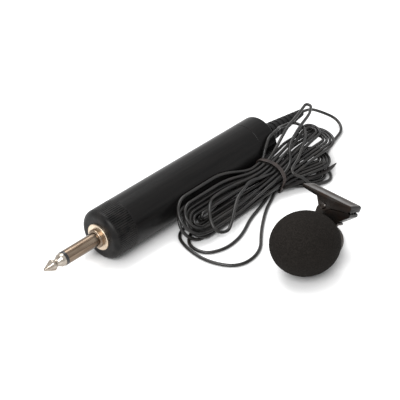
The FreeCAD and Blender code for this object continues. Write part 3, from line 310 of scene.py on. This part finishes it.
plate_piece(pressed_plate("lower_jaw"), "clip_jaw", "lower_jaw", "clip")
mesh = pressed_plate("upper_lever")
upward = [face for face in mesh.faces if face.normal.dot(clip_up) > 0.99]
back = [max(upward, key=lambda face: face.calc_area())]
for inwards, down in DISH_STEPS:
    bmesh.ops.inset_region(mesh, faces=back, thickness=inwards, depth=down, use_even_offset=True)
plate_piece(mesh, "clip_lever", "upper_lever", "lever")

# Windscreen: open-cell foam, cut and ground to an egg, and pushed over the housing. Its blind bore
# grips the housing by its own stretch, so it pulls off forwards.
FOAM_HALF_LENGTH = 0.018
FOAM_RADIUS = 0.0141
FOAM_REAR = 0.0135
FOAM_BORE = 0.00465
# The bore's rings, each with its place behind or in front of the rear face, and its radius.
BORE_STEPS = ((0.0, 0.0078), (-0.0003, FOAM_BORE + 0.0004), (-0.0009, FOAM_BORE), (-0.0195, FOAM_BORE),
              (-0.0197, 0.0002))
head_place = Matrix.Translation(on_bench(*MIC_PLACE)) @ Matrix.Rotation(MIC_TILT, 4, "Y")

mesh = bmesh.new()
bmesh.ops.create_uvsphere(mesh, u_segments=240, v_segments=150, radius=1.0)
bmesh.ops.rotate(mesh, verts=mesh.verts, matrix=Matrix.Rotation(math.radians(90), 3, "Y"))
bmesh.ops.scale(mesh, verts=mesh.verts, vec=(FOAM_HALF_LENGTH, FOAM_RADIUS, FOAM_RADIUS))
cut = bmesh.ops.bisect_plane(mesh, geom=mesh.verts[:] + mesh.edges[:] + mesh.faces[:],
                             plane_co=(FOAM_REAR, 0, 0), plane_no=(1, 0, 0), clear_outer=True)
rim = [item for item in cut["geom_cut"] if isinstance(item, bmesh.types.BMEdge)]
for reach, radius in BORE_STEPS:
    step = bmesh.ops.extrude_edge_only(mesh, edges=rim)
    ring = [item for item in step["geom"] if isinstance(item, bmesh.types.BMVert)]
    rim = [item for item in step["geom"] if isinstance(item, bmesh.types.BMEdge)]
    for corner in ring:
        around = Vector((0, corner.co.y, corner.co.z)).normalized() * radius
        corner.co = Vector((FOAM_REAR + reach, around.y, around.z))
bmesh.ops.contextual_create(mesh, geom=rim)
bmesh.ops.recalc_face_normals(mesh, faces=mesh.faces)
bmesh.ops.transform(mesh, matrix=head_place, verts=mesh.verts)
for face in mesh.faces:
    face.smooth = True
foam = new_piece(mesh, "foam_windscreen")
pores = bpy.data.textures.new("foam_pores", "CLOUDS")
pores.noise_scale = 0.0007
pores.noise_depth = 2
pitted = foam.modifiers.new("pitted", "DISPLACE")
pitted.texture = pores
pitted.texture_coords = "LOCAL"
pitted.strength = 0.0003
pitted.mid_level = 0.6
foam_dark = new_finish("foam_dark", (0.011, 0.0095, 0.008, 1), 0.95, specular=0.06)
tree = foam_dark.node_tree
place = tree.nodes.new("ShaderNodeTexCoord")
cells = tree.nodes.new("ShaderNodeTexVoronoi")
cells.inputs["Scale"].default_value = 2200
tree.links.new(place.outputs["Object"], cells.inputs["Vector"])
# Darker in the pits, where the bump sinks: painted shade in the pores, over the foam's own near-black.
depth = tree.nodes.new("ShaderNodeMapRange")
depth.inputs["From Max"].default_value = 0.7
tree.links.new(cells.outputs["Distance"], depth.inputs["Value"])
tone = tree.nodes.new("ShaderNodeMix")
tone.data_type = "RGBA"
tone.inputs["A"].default_value = (0.006, 0.0053, 0.0047, 1)
tone.inputs["B"].default_value = (0.021, 0.0183, 0.0162, 1)
tree.links.new(depth.outputs["Result"], tone.inputs["Factor"])
tree.links.new(tone.outputs["Result"], tree.nodes["Principled BSDF"].inputs["Base Color"])
relief = tree.nodes.new("ShaderNodeBump")
relief.inputs["Strength"].default_value = 0.8
relief.inputs["Distance"].default_value = 0.0002
tree.links.new(depth.outputs["Result"], relief.inputs["Height"])
tree.links.new(relief.outputs["Normal"], tree.nodes["Principled BSDF"].inputs["Normal"])
foam.data.materials.append(foam_dark)
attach(foam, "foam")
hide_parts("windscreen")

# Cable: one thin round cable with a black vinyl jacket. It leaves the boot, loops back under itself,
# goes fifteen times round the hank, then drops off the hank's top and runs to the microphone. Its
# diameter and length are in metres, and all its places in millimetres.
CABLE_DIAMETER = 0.0015
BOOT_EXIT = Vector((138.95, 0, 11.68))
MIC_BOOT_REACH = 26.5
STRANDS_ACROSS = 8
LAYERS = 4
STRAND_PITCH = 2.07
LAYER_PITCH = 2.1
WAIST = Vector((91.0, -19.9, 6.7))
WAIST_TILT = math.radians(15)
WAIST_TURN = (-13.0, -5.0, 2.0, 4.0)
WAIST_RISE = (-0.05, 0.0, 0.03, 0.05)
# The lobes towards the plug lie on a slope against the barrel. The tables of both lobes have an entry
# for each layer, the bottom one first, and a pair is the innermost strand's place and the step outwards.
LEFT_TILT = math.radians(42)
LEFT_MIDDLE = Vector((0, -20.1, 9.45))
LEFT_DROP = 2.0
LEFT_STRAIGHT = 57.0
LEFT_FRONT = ((2.3, 2.1), (2.8, 1.91), (1.9, 2.4), (2.8, 2.6))
LEFT_BACK = ((0.2, 2.1), (0.6, 1.93), (1.7, 1.97), (0.6, 3.6))
LEFT_BEND = (43.5, 43.0, 42.6, 42.0)
INNER_CLIMB = 3.1
OUTER_CLIMB = -2.4
# The lobes towards the boot fan out, each turned about the tie.
RIGHT_TURN = (-23.0, -11.0, 1.0, 7.0)
RIGHT_REACH = (22.3, 26.8, 36.0, 35.5)
RIGHT_FRONT = ((3.6, 1.72), (3.3, 1.72), (3.6, 1.72), (3.2, 1.72))
RIGHT_BACK = ((0.9, 1.72), (1.3, 1.72), (1.2, 1.72), (2.0, 1.72))
RIGHT_HEIGHT = (4.7, 7.8, 10.87, 12.95)
RIGHT_HEIGHT_AT = -20
RIGHT_SLOPE = math.tan(math.radians(11))
BARREL_EDGE = 107.6
EDGE_CLEARANCE = {2: (0.7, 1.9), 3: (1.8, 2.6)}
ALONG = Vector((1, 0, 0))


def across(tilt):
    """Directions of a tilted sheet of strands: across it to the front, and up out of it."""
    return Vector((0, -math.cos(tilt), -math.sin(tilt))), Vector((0, -math.sin(tilt), math.cos(tilt)))


def at_waist(slot, side):
    """Where a strand passes under the tie. A slot is (layer, loop), and side is 1 in front."""
    over, up = across(WAIST_TILT)
    out = over * (side * STRAND_PITCH * (slot[1] + 0.5))
    return WAIST + out + up * (LAYER_PITCH * (slot[0] - (LAYERS - 1) / 2))


def waist_way(layer):
    """The direction in which a layer's strands pass under the tie."""
    turn = math.radians(WAIST_TURN[layer])
    return Vector((math.cos(turn), math.sin(turn), WAIST_RISE[layer]))


def slot_offset(table, slot):
    """How far out a strand lies, from its layer's innermost place and step."""
    return table[slot[0]][0] + table[slot[0]][1] * slot[1]


def left_place(layer, side):
    """A point of a left lobe's sheet, so far in front of its middle."""
    over, up = across(LEFT_TILT)
    return LEFT_MIDDLE - up * (LEFT_DROP * (LAYERS - 1 - layer)) + over * side


# The loose strands, each place with the direction in which the cable passes it.
LOOSE_LOOPS = {
    (0, 3): [((81, -28.7, 0.8), (-0.93, -0.36, 0)), ((66.9, -36.3, 0.8), (-0.83, -0.55, 0)),
             ((42.5, -49.6, 0.8), (-1, 0, 0)), ((29.2, -31.5, 0.8), (0, 1, 0)),
             ((40, -12.8, 0.8), (1, 0.1, 0)), ((66, -10.8, 0.9), (1, 0.02, 0))],
    (0, 2): [((80.5, -26.1, 0.8), (-0.95, -0.3, 0)), ((60, -32.6, 0.8), (-0.9, -0.42, 0)),
             ((44.8, -36.4, 0.8), (-1, 0, 0)), ((31.8, -27.2, 0.8), (0, 1, 0)),
             ((46, -16.2, 0.8), (1, 0.05, 0)), ((68, -12.9, 0.8), (1, 0.03, 0))],
    (3, 0): [((83.5, -22.2, 11.1), (-0.97, 0, 0.22)), ((72, -21.9, 12.2), (-0.95, -0.3, -0.08)),
             ((61.5, -25, 10.4), (-0.85, -0.42, -0.3)), ((53.5, -29.5, 6.8), (-0.78, -0.42, -0.45)),
             ((46.2, -31.6, 4.8), (-0.9, 0.2, 0.1)), ((42.2, -28.6, 7.8), (0.05, 0.75, 0.66)),
             ((46.5, -22, 12.8), (0.75, 0.6, 0.3)), ((57, -16.98, 12.26), (1, 0, 0))],
}
HAIRPIN = [((103.5, -14.4, 16.6), (0.9, 0.25, 0.3)), ((111.6, -11.8, 18.6), (0.93, 0.33, 0.1)),
           ((128.6, -6.7, 19), (0.95, 0.31, 0)), ((136.2, -4.2, 19), (0.95, 0.31, 0)),
           ((138.1, -5.2, 18.9), (0.2, -0.98, -0.1)), ((136.9, -7.5, 18.7), (-0.84, -0.53, -0.05)),
           ((115.9, -15.6, 18), (-0.94, -0.3, -0.12)), ((107, -18.8, 15.9), (-0.85, -0.45, -0.35)),
           ((98.8, -24.9, 10.7), (-0.88, -0.3, -0.35))]
LAST_STRAND = [((97.2, -11.9, 16.8), (0.78, 0.3, 0.55)), ((101.6, -10.4, 19.4), (0.93, 0.2, 0.2)),
               ((107.3, -9.8, 19.9), (0.98, 0.15, -0.05)), ((113, -7.7, 18.5), (0.93, 0.15, -0.3)),
               ((123.2, -10.9, 16.75), (0.1, -1, 0)), ((117.5, -19.5, 15.2), (-0.85, -0.5, -0.1)),
               ((105.5, -25.4, 13), (-0.88, -0.4, -0.22)), ((98.2, -27.6, 11.2), (-0.9, -0.3, -0.25)),
               ((96.4, -29.6, 10), (0.1, -0.8, -0.5)), ((98.4, -31.4, 8.2), (0.75, -0.4, -0.5)),
               ((101.6, -33.9, 4.9), (0.45, -0.6, -0.66))]


def left_half(front_slot, back_slot):
    """Half a loop towards the plug: loose on the table, across the others, or leaning on the barrel."""
    if front_slot in LOOSE_LOOPS:
        return LOOSE_LOOPS[front_slot]
    front = left_place(front_slot[0], slot_offset(LEFT_FRONT, front_slot))
    back = left_place(back_slot[0], -slot_offset(LEFT_BACK, back_slot))
    bend = (LEFT_BEND[front_slot[0]] + LEFT_BEND[back_slot[0]]) / 2
    if front_slot[0] != back_slot[0]:
        bend += INNER_CLIMB if front_slot[1] == 0 else OUTER_CLIMB
    end = (front + back) * 0.5 + ALONG * (bend - (front - back).length / 2)
    return [(front + ALONG * LEFT_STRAIGHT, -ALONG), (front + ALONG * bend, -ALONG), (end, back - front),
            (back + ALONG * bend, ALONG), (back + ALONG * LEFT_STRAIGHT, ALONG)]


def right_place(layer, reach, side):
    """A point of a right lobe's sheet: so far along its middle line, and so far behind that line."""
    turn = math.radians(RIGHT_TURN[layer])
    x = WAIST.x + reach * math.cos(turn) - side * math.sin(turn)
    y = WAIST.y + reach * math.sin(turn) + side * math.cos(turn)
    return Vector((x, y, RIGHT_HEIGHT[layer] + (y - RIGHT_HEIGHT_AT) * RIGHT_SLOPE))


def right_front(slot):
    """The front strand of a right lobe, where it leaves its bend for the tie."""
    along = right_place(slot[0], 1, 0) - right_place(slot[0], 0, 0)
    return right_place(slot[0], RIGHT_REACH[slot[0]], -slot_offset(RIGHT_FRONT, slot)), -along


def right_half(back_slot, front_slot):
    """Half a loop towards the boot, which in the upper layers rises over the barrel's rear edge."""
    layer = back_slot[0]
    if back_slot == (3, 2):
        return HAIRPIN
    waist = at_waist(back_slot, -1)
    back, front = slot_offset(RIGHT_BACK, back_slot), slot_offset(RIGHT_FRONT, front_slot)
    along = right_place(layer, 1, 0) - right_place(layer, 0, 0)
    behind = right_place(layer, 0, 1) - right_place(layer, 0, 0)
    half = [(right_place(layer, RIGHT_REACH[layer], back), along),
            (right_place(layer, RIGHT_REACH[layer] + (front + back) / 2, (back - front) / 2), -behind),
            right_front(front_slot)]
    if layer in EDGE_CLEARANCE:
        outward, lift = EDGE_CLEARANCE[layer]
        over_edge = Vector((BARREL_EDGE, waist.y + outward, waist.z + lift))
        half.insert(0, (over_edge, Vector((1, 0.2, 0.03))))
    return half


def bend_corners(start, start_way, end, end_way):
    """The two corners of a smooth bend from one place and direction to another, or one if it is straight."""
    span, turn = end - start, 1 - start_way.dot(end_way)
    along = span.dot(start_way + end_way)
    if turn < 1e-6:
        return [start + start_way * (span.dot(span) / (2 * along))]
    reach = (math.sqrt(along * along + 2 * turn * span.dot(span)) - along) / (2 * turn)
    return [start + start_way * reach, end - end_way * reach]


def long_run_points(corners):
    """The corners, with a point on each long run near a corner whose other run is under half as long."""
    spots = [corners[0]]
    for before, corner, after in zip(corners, corners[1:], corners[2:]):
        run_in, run_out = (corner - before).length, (after - corner).length
        if run_out < run_in / 2:
            spots.append(corner + (before - corner) * (run_out / run_in))
        spots.append(corner)
        if run_in < run_out / 2:
            spots.append(corner + (after - corner) * (run_in / run_out))
    return spots + [corners[-1]]


# The strands in the order in which the cable is wound: each layer spirals in, and the next one out.
FRONT_SLOTS = ((0, 3), (0, 2), (0, 1), (0, 0), (1, 0), (1, 1), (1, 2), (1, 3),
               (2, 3), (2, 2), (2, 1), (2, 0), (3, 0), (3, 1), (3, 2))
BACK_SLOTS = ((0, 3), (0, 2), (0, 1), (1, 0), (1, 1), (1, 2), (1, 3), (2, 3),
              (2, 2), (2, 1), (2, 0), (3, 0), (3, 1), (3, 2), (3, 3))
stations = [right_front((0, 3))]
for index, (front_slot, back_slot) in enumerate(zip(FRONT_SLOTS, BACK_SLOTS)):
    stations.append((at_waist(front_slot, 1), -waist_way(front_slot[0])))
    stations += left_half(front_slot, back_slot)
    stations.append((at_waist(back_slot, -1), waist_way(back_slot[0])))
    if index + 1 < len(FRONT_SLOTS):
        stations += right_half(back_slot, FRONT_SLOTS[index + 1])
stations += LAST_STRAND
stations = [(Vector(spot), Vector(way).normalized()) for spot, way in stations]
hank_start, hank_start_way = stations[0]
hank_end, hank_end_way = stations[-1]
mic_way = Vector((math.cos(MIC_TILT), 0, -math.sin(MIC_TILT)))
mic_end = MIC_PLACE + mic_way * MIC_BOOT_REACH
route = [BOOT_EXIT, (145, 0, 11.68), (152.6, -3.2, 7.4), (158, -9, 3.4), (154, -16, 1.5), (145, -18, 1.1),
         (132.5, -21.5, 0.8), (122.3, -30.5, 0.8), (117, -37.5, 0.8), hank_start - hank_start_way * 4]
hank_corners = [hank_start]
for (spot, way), (next_spot, next_way) in zip(stations, stations[1:]):
    hank_corners += bend_corners(spot, way, next_spot, next_way)
route += long_run_points(hank_corners + [hank_end])[1:-1]
route += [hank_end + hank_end_way * 3, (104.2, -39, 0.9), (101.8, -45.5, 0.8), (97.5, -51.5, 0.8),
          (92, -56, 0.8), (87, -61, 0.8), (84.4, -66.6, 0.8), mic_end + mic_way * 4.5, mic_end]

cable_line = bpy.data.curves.new("cable", "CURVE")
cable_line.dimensions = "3D"
spline = cable_line.splines.new("NURBS")
spline.points.add(len(route) - 1)
for point, spot in zip(spline.points, route):
    point.co = (*on_bench(*spot), 1)
spline.order_u = 3
spline.use_endpoint_u = True
spline.resolution_u = 10
cable_line.bevel_depth = CABLE_DIAMETER / 2
cable_line.bevel_resolution = 5
cable_line.use_fill_caps = True
cable = bpy.data.objects.new("cable", cable_line)
bpy.context.scene.collection.objects.link(cable)
jacket_vinyl = new_finish("jacket_vinyl", (0.007, 0.0067, 0.0066, 1), 0.33, specular=0.42)
add_marks(jacket_vinyl, (0.036, 0.031, 0.026, 1), 0.5, 0.3, (0.25, 0.4), 0.3, grain_scale=4000,
          stretch=(120, 120, 120))
cable_line.materials.append(jacket_vinyl)
for name in ("cable_in_boot", "cable_in_mic"):
    finish_node(name, jacket_vinyl)
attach(cable, "barrel")
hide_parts("cord_from_barrel", "cord_hank", "cord_to_mic")

# Cable tie: a soft strap, pulled tight round the hank's waist, where it bows over the top strands towards
# the boot. The band is brown, partly from handling and partly painted as its lit colour; its loose end is
# painted black as shade, and runs on between the right lobes and comes to a point. It is made in millimetres
# and scaled at the end.
STRAP_WIDTH = 2.1
STRAP_THICKNESS = 0.5
STRAP_REACH = 1.0
STRAP_BOW = 3.4
STRAP_LIFT = 0.45
STRAP_EDGE = 0.16
TAIL_Z = 4.2
# The tail's middle line, with half its width at each place.
TAIL_LINE = ((90.6, -28.4, 1.0), (95, -29.9, 1.0), (100, -31.3, 1.0), (105, -32.7, 1.0), (110, -34, 1.0),
             (114, -34.7, 1.0), (118, -34.8, 1.0), (121, -34.6, 0.8), (124.3, -34.2, 0.12))

half_across = STRAND_PITCH * (STRANDS_ACROSS - 1) / 2 + STRAP_REACH
half_up = LAYER_PITCH * (LAYERS - 1) / 2 + STRAP_REACH
mesh = bmesh.new()
bmesh.ops.create_cube(mesh, size=2.0)
bmesh.ops.scale(mesh, verts=mesh.verts, vec=(STRAP_WIDTH / 2, half_across, half_up))
sides = [face for face in mesh.faces if abs(face.normal.x) > 0.9]
bmesh.ops.delete(mesh, geom=sides, context="FACES_ONLY")
folds = [edge for edge in mesh.edges if abs(edge.verts[0].co.x - edge.verts[1].co.x) > 0.1]
bmesh.ops.bevel(mesh, geom=folds, offset=STRAP_REACH, offset_type="OFFSET", segments=8, profile=0.5,
                affect="EDGES", material=-1)
flats = [edge for edge in mesh.edges if edge.calc_length() > 2 * STRAP_REACH and edge.is_boundary]
bmesh.ops.subdivide_edges(mesh, edges=flats, cuts=15, use_grid_fill=True)
for vert in mesh.verts:
    top_share = max(vert.co.z / half_up, 0) ** 2 * (1 - (vert.co.y / half_across) ** 2)
    vert.co.x += STRAP_BOW * top_share
    vert.co.z += STRAP_LIFT * top_share
bmesh.ops.recalc_face_normals(mesh, faces=mesh.faces)
bmesh.ops.solidify(mesh, geom=mesh.faces[:], thickness=-STRAP_THICKNESS)
rims = [edge for edge in mesh.edges if edge.is_manifold and edge.calc_face_angle() > math.radians(60)]
round_edges(mesh, rims, STRAP_EDGE)
waist_place = Matrix.Translation(WAIST) @ Matrix.Rotation(WAIST_TILT, 4, "X")
bmesh.ops.transform(mesh, matrix=waist_place, verts=mesh.verts)

start_x, start_y, start_half = TAIL_LINE[0]
ends = [mesh.verts.new((start_x, start_y + side * start_half, TAIL_Z)) for side in (1, -1)]
rim = [mesh.edges.new(ends)]
tail = []
for x, y, half in TAIL_LINE[1:]:
    step = bmesh.ops.extrude_edge_only(mesh, edges=rim)
    tail += [item for item in step["geom"] if isinstance(item, bmesh.types.BMFace)]
    rim = [item for item in step["geom"] if isinstance(item, bmesh.types.BMEdge)]
    upper, lower = sorted((item for item in step["geom"] if isinstance(item, bmesh.types.BMVert)),
                          key=lambda vert: -vert.co.y)
    upper.co = (x, y + half, TAIL_Z)
    lower.co = (x, y - half, TAIL_Z)
# The tail's faces take the black finish: painted shade.
for face in tail:
    face.material_index = 1
bmesh.ops.recalc_face_normals(mesh, faces=tail)
bmesh.ops.solidify(mesh, geom=tail, thickness=STRAP_THICKNESS)
for face in mesh.faces:
    face.smooth = True
bmesh.ops.translate(mesh, verts=mesh.verts, vec=FRONT_FACE)
bmesh.ops.scale(mesh, verts=mesh.verts, vec=(0.001, 0.001, 0.001))
strap = new_piece(mesh, "tie_strap")
# Brown finish for the band, partly handling and partly painted light; black finish for the tail, painted
# shade.
tie_brown = new_finish("tie_brown", (0.024, 0.0185, 0.0175, 1), 0.35, specular=0.3)
add_marks(tie_brown, (0.075, 0.054, 0.047, 1), 0.8, 0.3, (0.26, 0.4), 0.3, stretch=(300, 300, 300))
tie_painted_shade = new_finish("tie_painted_shade", (0.008, 0.0075, 0.0075, 1), 0.35, specular=0.2)
add_marks(tie_painted_shade, (0.03, 0.025, 0.023, 1), 0.5, 0.3, (0.26, 0.4), 0.3, stretch=(300, 300, 300))
strap.data.materials.append(tie_brown)
strap.data.materials.append(tie_painted_shade)
strap.data.set_sharp_from_angle(angle=math.radians(50))
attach(strap, "barrel")
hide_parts("cable_tie")

# Table and backdrop: plain white, which the camera and reflections see at full white but for the
# shade under the object and between the strands, under a soft lamp from the left and one from above.
WHITE = (0.92, 0.92, 0.92, 1)
TABLE_GLOW = 0.45
SHADE_REACH = 0.008


def white_to_the_eye(tree, plain, white, surface):
    """Shows full white to the camera and in reflections, and the plain shader to all other rays."""
    path = tree.nodes.new("ShaderNodeLightPath")
    either = tree.nodes.new("ShaderNodeMath")
    either.operation = "MAXIMUM"
    tree.links.new(path.outputs["Is Camera Ray"], either.inputs[0])
    tree.links.new(path.outputs["Is Glossy Ray"], either.inputs[1])
    seen = tree.nodes.new("ShaderNodeMath")
    seen.operation = "MAXIMUM"
    tree.links.new(either.outputs["Value"], seen.inputs[0])
    tree.links.new(path.outputs["Is Transmission Ray"], seen.inputs[1])
    choice = tree.nodes.new("ShaderNodeMixShader")
    tree.links.new(seen.outputs["Value"], choice.inputs["Fac"])
    tree.links.new(plain, choice.inputs[1])
    tree.links.new(white, choice.inputs[2])
    tree.links.new(choice.outputs["Shader"], surface)


mesh = bmesh.new()
bmesh.ops.create_grid(mesh, x_segments=2, y_segments=2, size=3.0)
table = new_piece(mesh, "table")
table_white = bpy.data.materials.new("table_white")
table_white.use_nodes = True
tree = table_white.node_tree
paper = tree.nodes["Principled BSDF"]
paper.inputs["Base Color"].default_value = (0.8, 0.8, 0.8, 1)
paper.inputs["Roughness"].default_value = 1.0
paper.inputs["Specular IOR Level"].default_value = 0.0
glow = tree.nodes.new("ShaderNodeEmission")
openness = tree.nodes.new("ShaderNodeAmbientOcclusion")
openness.inputs["Distance"].default_value = SHADE_REACH
deep_shade = tree.nodes.new("ShaderNodeMath")
deep_shade.operation = "POWER"
deep_shade.inputs[1].default_value = 2.0
glow_left = tree.nodes.new("ShaderNodeMath")
glow_left.operation = "MULTIPLY"
glow_left.inputs[1].default_value = TABLE_GLOW
tree.links.new(openness.outputs["AO"], deep_shade.inputs[0])
tree.links.new(deep_shade.outputs["Value"], glow_left.inputs[0])
tree.links.new(glow_left.outputs["Value"], glow.inputs["Strength"])
lit_paper = tree.nodes.new("ShaderNodeAddShader")
tree.links.new(paper.outputs["BSDF"], lit_paper.inputs[0])
tree.links.new(glow.outputs["Emission"], lit_paper.inputs[1])
white_to_the_eye(tree, paper.outputs["BSDF"], lit_paper.outputs["Shader"],
                 tree.nodes["Material Output"].inputs["Surface"])
table.data.materials.append(table_white)

world = bpy.data.worlds.new("studio")
bpy.context.scene.world = world
world.use_nodes = True
tree = world.node_tree
soft_light = tree.nodes["Background"]
soft_light.inputs["Color"].default_value = WHITE
soft_light.inputs["Strength"].default_value = 0.45
backdrop = tree.nodes.new("ShaderNodeBackground")
backdrop.inputs["Color"].default_value = (1, 1, 1, 1)
backdrop.inputs["Strength"].default_value = 1.0
white_to_the_eye(tree, soft_light.outputs["Background"], backdrop.outputs["Background"],
                 tree.nodes["World Output"].inputs["Surface"])

TARGET = on_bench(61.12, -2.69, 0)


def soft_lamp(name, place, size, power):
    """A square soft box that faces the object."""
    light = bpy.data.lights.new(name, "AREA")
    light.shape = "SQUARE"
    light.size = size
    light.energy = power
    lamp = bpy.data.objects.new(name, light)
    bpy.context.scene.collection.objects.link(lamp)
    lamp.location = TARGET + Vector(place)
    lamp.rotation_euler = (-Vector(place)).to_track_quat("-Z", "Y").to_euler()


soft_lamp("key_lamp", (-0.55, -0.25, 0.6), 0.4, 5.0)
soft_lamp("top_lamp", (0.1, 0.35, 0.7), 0.5, 4.0)

# Camera: a long lens above the plug's side of the table, as the photograph was taken, with its distance
# and focal length worked out from the plug's known size.
LENS_LENGTH = 100.66
CAMERA_AZIMUTH = math.radians(-47.2037)
CAMERA_ELEVATION = math.radians(35.9438)
CAMERA_DISTANCE = 0.52392
back_way = Vector((math.sin(CAMERA_AZIMUTH) * math.cos(CAMERA_ELEVATION),
                   -math.cos(CAMERA_AZIMUTH) * math.cos(CAMERA_ELEVATION), math.sin(CAMERA_ELEVATION)))
lens = bpy.data.cameras.new("camera")
lens.lens = LENS_LENGTH
lens.sensor_width = 36
lens.clip_start = 0.01
camera = bpy.data.objects.new("camera", lens)
bpy.context.scene.collection.objects.link(camera)
camera.location = TARGET + back_way * CAMERA_DISTANCE
camera.rotation_mode = "QUATERNION"
camera.rotation_quaternion = (-back_way).to_track_quat("-Z", "Y")
bpy.context.scene.camera = camera
bpy.context.scene.view_settings.view_transform = "Standard"
